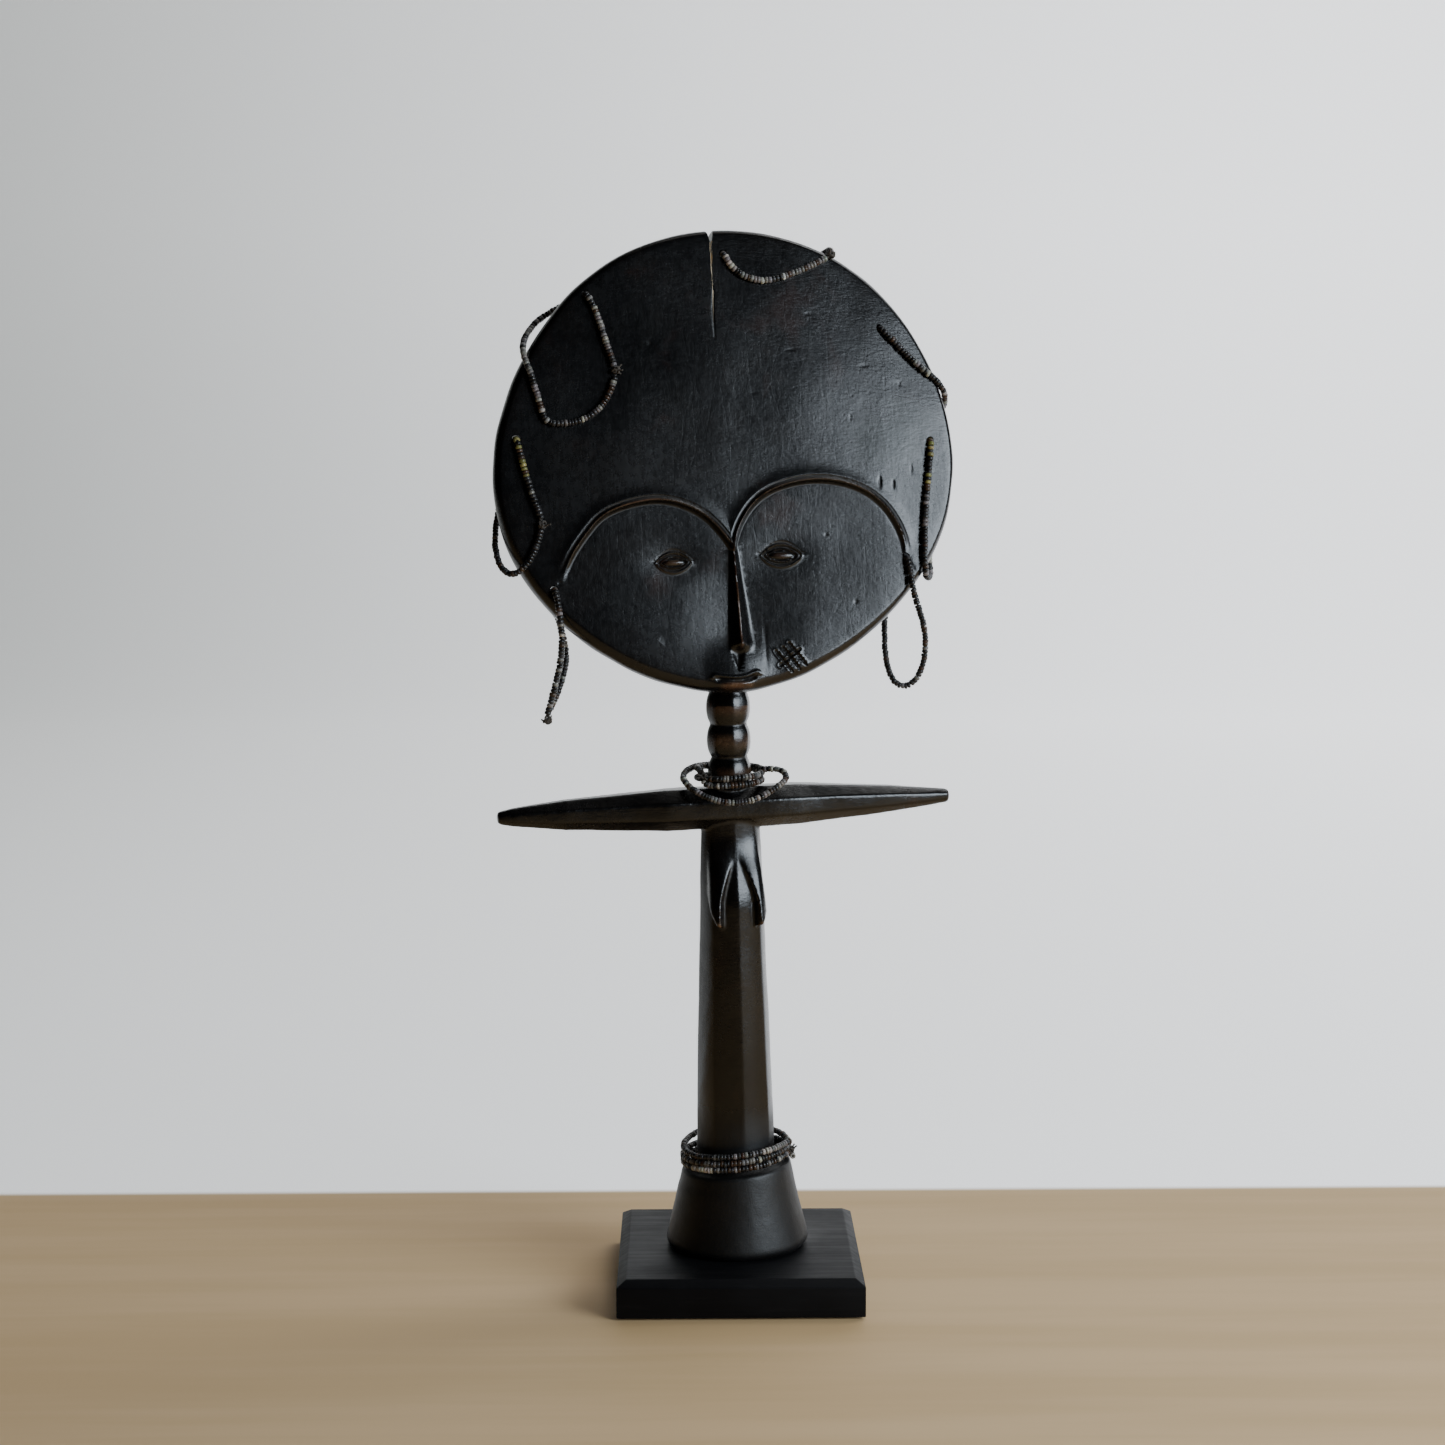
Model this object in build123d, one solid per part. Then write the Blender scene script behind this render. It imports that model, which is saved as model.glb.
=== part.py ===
"""A carved disc-headed standing figure with bead strands, on a chamfered plinth.

Frame: origin at the centre of the underside, X to the figure's left-hand arm, +Y to the back, +Z up.
The figure stands on a steel rod: it turns with the rod and lifts off it.
Three places are used: the row frame, FIGURE (feet at 0, Z up the body) and HEAD (u right, v up, w out
of the face, with 0 in the middle of the disc).
"""

from build123d import *
import math
import os

# ---------------------------------------------------------------- driving dimensions, millimetres
PAD_SIDE = 74.0
PAD_THICKNESS = 0.8
PAD_CORNER = 3.0
PLINTH_SIDE = 80.0
PLINTH_TOP = 12.8
CHAMFER_WIDTH = 3.1
CHAMFER_HEIGHT = 2.0

ROD_RADIUS = 3.0
ROD_TOP = 38.0
RUNNING_GAP = 0.05
COLLAR_RADIUS = 6.0
COLLAR_HEIGHT = 1.6
COLLAR_ROOM = 0.4
RECESS_RADIUS = 5.6
RECESS_TOP = 5.0
SCREW_RADIUS = 2.0
SCREW_REACH = 10.0
SCREW_HEAD_RADIUS = 3.6
SCREW_HEAD_HEIGHT = 2.2
WASHER_RADIUS = 5.0
WASHER_THICKNESS = 0.8
AXIAL_GAP = 0.1

FIGURE_YAW = 12.0
FIGURE_LEAN = -0.9
FOOT_RADIUS = 23.8
FOOT_EDGE = 2.6
SHOULDER_RADIUS = 18.3
SHOULDER_HEIGHT = 25.8
WAIST_RADIUS = 13.1
WAIST_HEIGHT = 28.6
CHEST_RADIUS = 9.6
CHEST_HEIGHT = 148.0
NECK_FOOT = 153.3
NECK_PITCH = 10.9
NECK_RINGS = 3
NECK_RADIUS = 6.9
GROOVE_RADIUS = 6.0
SPINE_TOP = 249.0
SPINE_TOP_RADIUS = 2.2

ARM_HEIGHT = 147.6
ARM_STATIONS = [(-77.0, 1.8), (-72.0, 3.0), (-55.0, 4.9), (-22.0, 6.9), (22.0, 6.9), (55.0, 4.5), (75.0, 2.0)]

BREAST_ROOT = (4.6, -4.6, 138.0)
BREAST_TIP = (6.3, -12.6, 110.8)
BREAST_ROOT_RADIUS = 5.2
BREAST_TIP_RADIUS = 2.2

HEAD_CENTRE = (-3.6, 0.3, 273.6)
HEAD_TILT = 10.0
DISC_RADIUS = 75.1
DISC_WAVES = [(2, 1.65, 38.0), (3, 0.4, -30.0), (4, 0.46, 4.0), (5, 0.5, -18.0)]
RIM_HALF = 4.3
RIM_ROUND = 3.9
FRONT_RISE = 1.7
BACK_RISE = 0.9
CRACK = [(-5.4, 80.0), (-1.8, 80.0), (-3.1, 70.5), (-3.2, 54.5), (-3.5, 54.5), (-4.1, 70.5)]

BEAD_RADIUS = 1.0
HOLE_RADIUS = 1.3
KNOT_RADIUS = 1.9

NECK_COIL_RADIUS = 9.2
NECK_COIL_HEIGHT = 157.1
NECK_COIL_HALF = 2.0
HIP_COIL_RADIUS = 17.7
HIP_COIL_HEIGHT = 31.3
HIP_COIL_HALF = 3.1
HIP_COIL_TILT = -4.0
COIL_WALL = 2.2

FIGURE = Pos(-0.4, 1.2, PLINTH_TOP) * Rot(0, FIGURE_LEAN, 0) * Rot(0, 0, FIGURE_YAW)
HEAD = Pos(*HEAD_CENTRE) * Rot(0, 0, FIGURE_YAW) * Rot(90 - HEAD_TILT, 0, 0)

# Where each strand goes through the disc, (u, v).
HOLES = {
    1: (-45.0, 53.0),
    2: (0.5, 66.5),
    3: (52.0, 42.5),
    4: (-69.0, 6.5),
    5: (67.5, 5.5),
    6: (-58.5, -41.5),
    7: (57.5, -32.5),
}

# The knot that closes each strand, in HEAD.
KNOTS = {
    1: (-36.6, 28.0, 7.4),
    2: (36.3, 66.4, 5.5),
    3: (60.7, 35.7, -6.6),
    4: (-61.9, -21.2, 6.8),
    5: (69.0, -12.2, -6.6),
    6: (-61.6, -82.2, -0.8),
    7: (55.4, -40.6, -7.2),
}

# The routes of the seven strands, in HEAD, from knot to knot. Strands 6 and 7 hang free.
ROUTES = {
    1: [
        (-37.0, 29.4, 6.7), (-38.5, 34.0, 6.6), (-40.5, 41.5, 6.4), (-42.8, 48.8, 6.0), (-45.0, 53.0, 6.0),
        (-44.9, 53.1, 0.0), (-45.0, 53.0, -6.0), (-49.0, 52.2, -6.3), (-55.0, 49.5, -6.4), (-61.0, 45.0, -5.0),
        (-65.0, 38.9, -1.4), (-65.7, 33.2, 4.0), (-64.0, 27.8, 6.1), (-62.6, 22.5, 6.0), (-61.2, 17.3, 6.1),
        (-59.6, 11.2, 6.2), (-52.5, 11.0, 6.4), (-46.0, 12.8, 6.5), (-41.2, 16.8, 6.6), (-38.2, 21.8, 6.7),
        (-36.7, 26.6, 6.8),
    ],
    2: [
        (36.6, 67.4, 4.6), (37.8, 69.8, 0.3), (35.8, 68.8, -5.4), (30.0, 66.0, -6.2), (21.0, 64.5, -6.2),
        (12.0, 65.0, -6.2), (5.0, 66.3, -6.1), (0.5, 66.5, -6.0), (0.6, 66.6, 0.0), (0.5, 66.5, 6.0),
        (2.4, 62.3, 5.9), (7.0, 58.6, 6.1), (12.6, 57.4, 6.1), (18.5, 58.3, 6.1), (25.3, 60.8, 6.0),
        (31.4, 63.6, 5.9), (35.2, 65.6, 5.8),
    ],
    3: [
        (59.6, 36.9, -6.4), (56.2, 40.3, -6.2), (52.0, 42.5, -6.0), (52.1, 42.4, 0.0), (52.0, 42.5, 6.0),
        (55.0, 39.2, 5.9), (60.5, 33.5, 5.9), (66.0, 28.5, 5.9), (71.2, 24.8, 4.9), (74.8, 20.9, 1.0),
        (75.0, 16.9, -3.7), (72.0, 15.5, -6.8), (67.8, 19.5, -6.6), (64.8, 25.5, -6.5), (62.4, 30.2, -6.4),
        (61.2, 34.2, -6.5),
    ],
    4: [
        (-62.3, -22.6, 6.1), (-63.6, -26.5, 5.9), (-65.8, -31.8, 6.0), (-69.0, -35.6, 5.4), (-72.4, -36.6, 3.2),
        (-74.9, -33.6, 0.4), (-75.9, -28.4, -2.3), (-75.6, -23.0, -4.8), (-74.4, -17.0, -6.6),
        (-72.8, -9.5, -6.4), (-70.9, -3.6, -6.3), (-69.7, 1.7, -6.1), (-69.0, 6.5, -6.0), (-69.1, 6.4, 0.0),
        (-69.0, 6.5, 6.0), (-68.2, 2.0, 5.9), (-66.8, -4.0, 5.9), (-64.8, -11.5, 6.0), (-62.8, -17.0, 6.1),
        (-62.0, -19.8, 6.2),
    ],
    5: [
        (68.8, -10.6, -6.4), (68.5, -5.0, -6.2), (67.9, 0.8, -6.1), (67.5, 5.5, -6.0), (67.6, 5.4, 0.0),
        (67.5, 5.5, 6.0), (66.9, 0.8, 5.9), (66.0, -6.0, 5.9), (64.8, -14.5, 5.9), (64.0, -23.0, 6.0),
        (63.6, -31.0, 6.0), (63.4, -36.4, 5.9), (64.6, -39.6, 3.2), (67.4, -38.8, -1.6), (68.6, -34.3, -5.4),
        (68.9, -27.0, -6.6), (69.0, -19.5, -6.6), (69.1, -13.8, -6.5),
    ],
    6: [
        (-61.6, -80.8, 0.2), (-59.6, -73.4, 2.2), (-57.5, -65.3, 3.9), (-56.8, -58.0, 5.6), (-57.3, -51.5, 6.5),
        (-57.9, -46.3, 6.3), (-58.5, -41.5, 6.0), (-58.4, -41.6, 0.0), (-58.5, -41.5, -6.0), (-57.4, -46.0, -6.8),
        (-55.0, -52.0, -7.9), (-53.6, -58.5, -7.6), (-54.0, -64.5, -6.0), (-56.4, -71.8, -4.0),
        (-60.4, -79.4, -2.0),
    ],
    7: [
        (56.4, -37.8, -6.8), (57.5, -32.5, -6.0), (57.6, -32.6, 0.0), (57.5, -32.5, 6.0), (58.4, -37.5, 6.2),
        (58.8, -43.0, 6.3), (60.5, -49.0, 5.8), (62.9, -55.8, 4.2), (63.6, -63.0, 2.2), (62.3, -70.0, 0.3),
        (58.9, -74.6, -1.8), (54.6, -73.9, -3.8), (52.4, -67.9, -5.4), (52.3, -59.5, -7.0), (53.0, -51.5, -7.9),
        (54.3, -44.2, -7.7),
    ],
}

# The loose loop of the neck strand, in FIGURE, from the back of the two turns round to their right side.
NECK_LOOP = [
    (3.5, 8.9, 158.2), (-3.0, 9.8, 160.4), (-9.5, 8.0, 160.6), (-14.5, 3.5, 159.2), (-16.3, -3.0, 157.4),
    (-13.9, -9.6, 154.6), (-8.0, -13.6, 151.7), (-0.8, -15.0, 150.6), (6.5, -14.4, 151.9), (12.5, -12.6, 154.8),
    (17.2, -10.0, 157.4), (16.6, -5.4, 159.8), (12.6, -3.6, 159.9), (10.4, -2.6, 158.9),
]
NECK_KNOT = (-9.6, -4.6, 158.2)
HIP_KNOT = (18.2, -8.0, 32.4)


# ---------------------------------------------------------------- helpers
def save(shape, node):
    """One STEP per node, with its place in its geometry."""
    export_step(shape, f"parts/{node}.step")


def upright(radius, bottom, top):
    """A cylinder on the rod's axis, between two heights."""
    return Pos(0, 0, bottom) * Cylinder(radius, top - bottom, align=(Align.CENTER, Align.CENTER, Align.MIN))


def corner_radii(corners):
    """0.45 of the shorter run over the tangent of half the turn, at each inner corner."""
    radii = []
    for before, corner, after in zip(corners, corners[1:], corners[2:]):
        arriving = corner - before
        leaving = after - corner
        half_turn = math.radians(arriving.get_angle(leaving)) / 2
        radii.append(0.45 * min(arriving.length, leaving.length) / math.tan(half_turn))
    return radii


def strand_tube(points, frame, label):
    """A plain tube of a strand's diameter along straight runs and tangent arcs."""
    corners = [(frame * Pos(*point)).position for point in points]
    radii = corner_radii(corners)
    path = FilletPolyline(*corners, radius=radii)
    section = Plane(origin=path @ 0, z_dir=path % 0) * Circle(BEAD_RADIUS)
    tube = sweep(section, path=path)
    ratio = tube.volume / (math.pi * BEAD_RADIUS**2 * path.length)
    print(f"{label}: length {path.length:.1f}, smallest radius {min(radii):.1f}, volume ratio {ratio:.4f}")
    return tube


def disc_radius(angle):
    """The disc's outline: a circle with the slow waves of hand carving and a blunt chin."""
    waves = [size * math.cos(count * math.radians(angle - phase)) for count, size, phase in DISC_WAVES]
    return DISC_RADIUS + sum(waves)


# ---------------------------------------------------------------- stand
def felt_pad():
    return extrude(RectangleRounded(PAD_SIDE, PAD_SIDE, PAD_CORNER), amount=PAD_THICKNESS)


def plinth():
    """A square block with a chamfered top, bored for the rod and recessed from below for its screw."""
    side_top = PLINTH_TOP - CHAMFER_HEIGHT
    block = Pos(0, 0, PAD_THICKNESS) * extrude(Rectangle(PLINTH_SIDE, PLINTH_SIDE), amount=side_top - PAD_THICKNESS)
    top_side = PLINTH_SIDE - 2 * CHAMFER_WIDTH
    top = loft([
        Pos(0, 0, side_top) * Rectangle(PLINTH_SIDE, PLINTH_SIDE),
        Pos(0, 0, PLINTH_TOP) * Rectangle(top_side, top_side),
    ])
    bore = upright(ROD_RADIUS + RUNNING_GAP, PAD_THICKNESS, PLINTH_TOP)
    recess = upright(RECESS_RADIUS, PAD_THICKNESS, RECESS_TOP)
    return block + top - bore - recess


def mounting_rod():
    """A steel rod with a collar that stands on the plinth and a tapped lower end."""
    rod = upright(ROD_RADIUS, RECESS_TOP - AXIAL_GAP, ROD_TOP)
    rod = chamfer(rod.edges().sort_by(Axis.Z)[-1], 0.8)
    collar = upright(COLLAR_RADIUS, PLINTH_TOP, PLINTH_TOP + COLLAR_HEIGHT)
    tapped = upright(SCREW_RADIUS, RECESS_TOP - AXIAL_GAP, RECESS_TOP + SCREW_REACH)
    return rod + collar - tapped


def rod_washer():
    top = RECESS_TOP - AXIAL_GAP
    ring = upright(WASHER_RADIUS, top - WASHER_THICKNESS, top)
    return ring - upright(SCREW_RADIUS, top - WASHER_THICKNESS, top)


def rod_screw():
    """A pan-head screw that holds the rod down from below, with a slot across its head."""
    head_top = RECESS_TOP - AXIAL_GAP - WASHER_THICKNESS
    head = upright(SCREW_HEAD_RADIUS, head_top - SCREW_HEAD_HEIGHT, head_top)
    shank = upright(SCREW_RADIUS, head_top, RECESS_TOP + SCREW_REACH - AXIAL_GAP)
    slot = Pos(0, 0, head_top - SCREW_HEAD_HEIGHT) * Box(2 * SCREW_HEAD_RADIUS, 1.0, 1.6)
    return head + shank - slot


# ---------------------------------------------------------------- the carved figure
def body_profile():
    """Half of the outline of foot, torso and ringed neck, radius against height."""
    foot = Polyline((0, 0), (FOOT_RADIUS - FOOT_EDGE, 0))
    edge = ThreePointArc(
        (FOOT_RADIUS - FOOT_EDGE, 0),
        (FOOT_RADIUS - 0.3 * FOOT_EDGE, 0.3 * FOOT_EDGE),
        (FOOT_RADIUS - 0.2, FOOT_EDGE),
    )
    torso = Polyline(
        (FOOT_RADIUS - 0.2, FOOT_EDGE),
        (SHOULDER_RADIUS, SHOULDER_HEIGHT),
        (SHOULDER_RADIUS - 1.4, SHOULDER_HEIGHT + 0.6),
        (WAIST_RADIUS, WAIST_HEIGHT),
        (CHEST_RADIUS, CHEST_HEIGHT),
        (GROOVE_RADIUS, NECK_FOOT),
    )
    rings = []
    for ring in range(NECK_RINGS):
        bottom = NECK_FOOT + ring * NECK_PITCH
        middle = (NECK_RADIUS, bottom + NECK_PITCH / 2)
        rings.append(ThreePointArc((GROOVE_RADIUS, bottom), middle, (GROOVE_RADIUS, bottom + NECK_PITCH)))
    neck_top = NECK_FOOT + NECK_RINGS * NECK_PITCH
    close = Polyline((GROOVE_RADIUS, neck_top), (0, neck_top), (0, 0))
    return make_face(Plane.XZ * (foot + edge + torso + sum(rings[1:], rings[0]) + close))


def torso_and_neck():
    return revolve(body_profile(), Axis.Z)


def neck_spine():
    """The neck's taper up the back of the disc."""
    foot = NECK_FOOT + NECK_RINGS * NECK_PITCH - 0.5
    height = SPINE_TOP - foot
    cone = Cone(GROOVE_RADIUS + 0.5, SPINE_TOP_RADIUS, height, align=(Align.CENTER, Align.CENTER, Align.MIN))
    return Pos(0, 0, foot) * cone


def arms():
    """One bar through the shoulders: eight-sided sections that shrink to blunt tips."""
    sections = [
        Plane(origin=(along, 0, ARM_HEIGHT), x_dir=(0, 1, 0), z_dir=(1, 0, 0))
        * Rot(0, 0, 22.5)
        * RegularPolygon(half / math.cos(math.pi / 8), 8)
        for along, half in ARM_STATIONS
    ]
    return loft(sections, ruled=True)


def breast(side):
    """A long form that hangs from the arm bar to a blunt point."""
    root = Vector(side * BREAST_ROOT[0], BREAST_ROOT[1], BREAST_ROOT[2])
    tip = Vector(side * BREAST_TIP[0], BREAST_TIP[1], BREAST_TIP[2])
    line = tip - root
    taper = loft([
        Plane(origin=root, z_dir=line) * Circle(BREAST_ROOT_RADIUS),
        Plane(origin=tip, z_dir=line) * Circle(BREAST_TIP_RADIUS),
    ])
    return taper + Pos(tip) * Sphere(BREAST_TIP_RADIUS)


def bowl(rise, facing):
    """A very large ball whose surface domes one face of the disc by the given rise."""
    ball_radius = (DISC_RADIUS**2 + rise**2) / (2 * rise)
    return Pos(0, 0, facing * (RIM_HALF + rise - ball_radius)) * Sphere(ball_radius)


def head_disc():
    """The flat round head, slightly domed on both faces, with a rounded rim."""
    step = 10
    outline = Spline(
        *[
            (disc_radius(angle) * math.cos(math.radians(angle)), disc_radius(angle) * math.sin(math.radians(angle)))
            for angle in range(0, 360, step)
        ],
        periodic=True,
    )
    slab = extrude(make_face(outline), amount=RIM_HALF + FRONT_RISE, both=True)
    disc = slab & bowl(FRONT_RISE, 1) & bowl(BACK_RISE, -1)
    rims = [edge for edge in disc.edges() if abs(edge.length - 2 * math.pi * DISC_RADIUS) < 20]
    disc = fillet(rims, RIM_ROUND)
    return HEAD * disc


def head_cuts():
    """The seven strand holes and the old split at the top."""
    drill = Cylinder(HOLE_RADIUS, 20)
    cuts = [HEAD * Pos(u, v, 0) * drill for u, v in HOLES.values()]
    split = extrude(make_face(Polyline(*CRACK, close=True)), amount=12, both=True)
    cuts.append(HEAD * split)
    return cuts


def carved_figure():
    """Head, neck, arms, torso and foot: one piece of wood, cut flat where it stands on the plinth."""
    wood = torso_and_neck() + neck_spine() + arms() + breast(-1) + breast(1)
    wood = FIGURE * wood + head_disc()
    room_below = Pos(0, 0, PLINTH_TOP - 10) * Box(120, 120, 20)
    bore = upright(ROD_RADIUS + RUNNING_GAP, PLINTH_TOP, ROD_TOP + 1.0)
    collar_room = upright(COLLAR_RADIUS + COLLAR_ROOM, PLINTH_TOP, PLINTH_TOP + COLLAR_HEIGHT + COLLAR_ROOM)
    wood = wood - room_below - bore - collar_room
    for cut in head_cuts():
        wood = wood - cut
    return wood


# ---------------------------------------------------------------- strands
def coil(radius, height, half, tilt):
    """The closed outer shape of a strand's turns: a ring about the body, tipped to one side."""
    wall = Pos(radius, 0) * RectangleRounded(COIL_WALL, 2 * half, 1.0)
    ring = revolve(Plane.XZ * wall, Axis.Z)
    return FIGURE * Pos(0, 0, height) * Rot(0, tilt, 0) * ring


def knot(frame, place):
    return frame * Pos(*place) * Sphere(KNOT_RADIUS)


# ---------------------------------------------------------------- make every node
os.makedirs("parts", exist_ok=True)

save(felt_pad(), "felt_pad")
save(plinth(), "plinth")
save(mounting_rod(), "mounting_rod")
save(rod_washer(), "rod_washer")
save(rod_screw(), "rod_screw")
save(carved_figure(), "carved_figure")

for number, route in ROUTES.items():
    save(strand_tube(route, HEAD, f"head_strand_{number}"), f"head_strand_{number}")
    save(knot(HEAD, KNOTS[number]), f"head_knot_{number}")

save(coil(NECK_COIL_RADIUS, NECK_COIL_HEIGHT, NECK_COIL_HALF, 0), "neck_strand_turns")
save(strand_tube(NECK_LOOP, FIGURE, "neck_strand_loop"), "neck_strand_loop")
save(knot(FIGURE, NECK_KNOT), "neck_knot")
save(coil(HIP_COIL_RADIUS, HIP_COIL_HEIGHT, HIP_COIL_HALF, HIP_COIL_TILT), "hip_strand_turns")
save(knot(FIGURE, HIP_KNOT), "hip_knot")
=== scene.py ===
"""A carved disc-headed standing figure with strings of seed beads, on a chamfered black plinth.

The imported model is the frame. This script replaces its plain solids with carved, worn and beaded pieces,
in the row's own axes: X to the right seen from the front, +Y to the back, +Z up. Tables are in
millimetres, and MM turns them into metres.
"""

import math
import random

import bmesh
import bpy
import numpy as np
from mathutils import Matrix, Vector


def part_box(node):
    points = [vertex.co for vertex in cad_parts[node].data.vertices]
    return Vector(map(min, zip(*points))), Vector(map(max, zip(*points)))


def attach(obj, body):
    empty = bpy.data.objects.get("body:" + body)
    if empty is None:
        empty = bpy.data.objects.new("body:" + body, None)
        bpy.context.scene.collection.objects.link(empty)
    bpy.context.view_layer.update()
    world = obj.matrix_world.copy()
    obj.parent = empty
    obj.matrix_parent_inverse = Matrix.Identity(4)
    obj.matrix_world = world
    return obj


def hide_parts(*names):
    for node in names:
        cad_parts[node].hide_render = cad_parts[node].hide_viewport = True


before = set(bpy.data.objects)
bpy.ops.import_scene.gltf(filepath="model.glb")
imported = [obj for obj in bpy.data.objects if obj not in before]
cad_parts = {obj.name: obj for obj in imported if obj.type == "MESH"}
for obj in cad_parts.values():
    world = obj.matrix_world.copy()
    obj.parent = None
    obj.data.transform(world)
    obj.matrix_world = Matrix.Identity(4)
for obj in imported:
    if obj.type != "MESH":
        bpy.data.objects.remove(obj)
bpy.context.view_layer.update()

MM = 0.001

# ---------------------------------------------------------------- places, as in the CAD model
PLINTH_SIDE = 80.0
PLINTH_TOP = 12.8
CHAMFER_WIDTH = 3.1
CHAMFER_HEIGHT = 2.0
PLINTH_EDGE_WEAR = 0.38
FIGURE_YAW = math.radians(12.0)
FIGURE_LEAN = math.radians(-0.9)
HEAD_TILT = math.radians(10.0)
HEAD_CENTRE = (-3.6, 0.3, 273.6)

FIGURE = (
    Matrix.Translation((-0.4, 1.2, PLINTH_TOP))
    @ Matrix.Rotation(FIGURE_LEAN, 4, "Y")
    @ Matrix.Rotation(FIGURE_YAW, 4, "Z")
)
HEAD = (
    Matrix.Translation(HEAD_CENTRE)
    @ Matrix.Rotation(FIGURE_YAW, 4, "Z")
    @ Matrix.Rotation(math.pi / 2 - HEAD_TILT, 4, "X")
)

DISC_RADIUS = 75.1
DISC_WAVES = [(2, 1.65, 38.0), (3, 0.4, -30.0), (4, 0.46, 4.0), (5, 0.5, -18.0)]
RIM_HALF = 4.3
FRONT_RISE = 1.7
BACK_RISE = 0.9
HOLE_RADIUS = 1.3
BEAD_RADIUS = 1.0

HOLES = {
    1: (-45.0, 53.0),
    2: (0.5, 66.5),
    3: (52.0, 42.5),
    4: (-69.0, 6.5),
    5: (67.5, 5.5),
    6: (-58.5, -41.5),
    7: (57.5, -32.5),
}

KNOTS = {
    1: (-36.6, 28.0, 7.4),
    2: (36.3, 66.4, 5.5),
    3: (60.7, 35.7, -6.6),
    4: (-61.9, -21.2, 6.8),
    5: (69.0, -12.2, -6.6),
    6: (-61.6, -82.2, -0.8),
    7: (55.4, -40.6, -7.2),
}

# The routes of the seven strands, in HEAD, from knot to knot. Strands 6 and 7 hang free.
ROUTES = {
    1: [
        (-37.0, 29.4, 6.7), (-38.5, 34.0, 6.6), (-40.5, 41.5, 6.4), (-42.8, 48.8, 6.0), (-45.0, 53.0, 6.0),
        (-44.9, 53.1, 0.0), (-45.0, 53.0, -6.0), (-49.0, 52.2, -6.3), (-55.0, 49.5, -6.4), (-61.0, 45.0, -5.0),
        (-65.0, 38.9, -1.4), (-65.7, 33.2, 4.0), (-64.0, 27.8, 6.1), (-62.6, 22.5, 6.0), (-61.2, 17.3, 6.1),
        (-59.6, 11.2, 6.2), (-52.5, 11.0, 6.4), (-46.0, 12.8, 6.5), (-41.2, 16.8, 6.6), (-38.2, 21.8, 6.7),
        (-36.7, 26.6, 6.8),
    ],
    2: [
        (36.6, 67.4, 4.6), (37.8, 69.8, 0.3), (35.8, 68.8, -5.4), (30.0, 66.0, -6.2), (21.0, 64.5, -6.2),
        (12.0, 65.0, -6.2), (5.0, 66.3, -6.1), (0.5, 66.5, -6.0), (0.6, 66.6, 0.0), (0.5, 66.5, 6.0),
        (2.4, 62.3, 5.9), (7.0, 58.6, 6.1), (12.6, 57.4, 6.1), (18.5, 58.3, 6.1), (25.3, 60.8, 6.0),
        (31.4, 63.6, 5.9), (35.2, 65.6, 5.8),
    ],
    3: [
        (59.6, 36.9, -6.4), (56.2, 40.3, -6.2), (52.0, 42.5, -6.0), (52.1, 42.4, 0.0), (52.0, 42.5, 6.0),
        (55.0, 39.2, 5.9), (60.5, 33.5, 5.9), (66.0, 28.5, 5.9), (71.2, 24.8, 4.9), (74.8, 20.9, 1.0),
        (75.0, 16.9, -3.7), (72.0, 15.5, -6.8), (67.8, 19.5, -6.6), (64.8, 25.5, -6.5), (62.4, 30.2, -6.4),
        (61.2, 34.2, -6.5),
    ],
    4: [
        (-62.3, -22.6, 6.1), (-63.6, -26.5, 5.9), (-65.8, -31.8, 6.0), (-69.0, -35.6, 5.4), (-72.4, -36.6, 3.2),
        (-74.9, -33.6, 0.4), (-75.9, -28.4, -2.3), (-75.6, -23.0, -4.8), (-74.4, -17.0, -6.6),
        (-72.8, -9.5, -6.4), (-70.9, -3.6, -6.3), (-69.7, 1.7, -6.1), (-69.0, 6.5, -6.0), (-69.1, 6.4, 0.0),
        (-69.0, 6.5, 6.0), (-68.2, 2.0, 5.9), (-66.8, -4.0, 5.9), (-64.8, -11.5, 6.0), (-62.8, -17.0, 6.1),
        (-62.0, -19.8, 6.2),
    ],
    5: [
        (68.8, -10.6, -6.4), (68.5, -5.0, -6.2), (67.9, 0.8, -6.1), (67.5, 5.5, -6.0), (67.6, 5.4, 0.0),
        (67.5, 5.5, 6.0), (66.9, 0.8, 5.9), (66.0, -6.0, 5.9), (64.8, -14.5, 5.9), (64.0, -23.0, 6.0),
        (63.6, -31.0, 6.0), (63.4, -36.4, 5.9), (64.6, -39.6, 3.2), (67.4, -38.8, -1.6), (68.6, -34.3, -5.4),
        (68.9, -27.0, -6.6), (69.0, -19.5, -6.6), (69.1, -13.8, -6.5),
    ],
    6: [
        (-61.6, -80.8, 0.2), (-59.6, -73.4, 2.2), (-57.5, -65.3, 3.9), (-56.8, -58.0, 5.6), (-57.3, -51.5, 6.5),
        (-57.9, -46.3, 6.3), (-58.5, -41.5, 6.0), (-58.4, -41.6, 0.0), (-58.5, -41.5, -6.0),
        (-57.4, -46.0, -6.8),
        (-55.0, -52.0, -7.9), (-53.6, -58.5, -7.6), (-54.0, -64.5, -6.0), (-56.4, -71.8, -4.0),
        (-60.4, -79.4, -2.0),
    ],
    7: [
        (56.4, -37.8, -6.8), (57.5, -32.5, -6.0), (57.6, -32.6, 0.0), (57.5, -32.5, 6.0), (58.4, -37.5, 6.2),
        (58.8, -43.0, 6.3), (60.5, -49.0, 5.8), (62.9, -55.8, 4.2), (63.6, -63.0, 2.2), (62.3, -70.0, 0.3),
        (58.9, -74.6, -1.8), (54.6, -73.9, -3.8), (52.4, -67.9, -5.4), (52.3, -59.5, -7.0), (53.0, -51.5, -7.9),
        (54.3, -44.2, -7.7),
    ],
}

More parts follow.
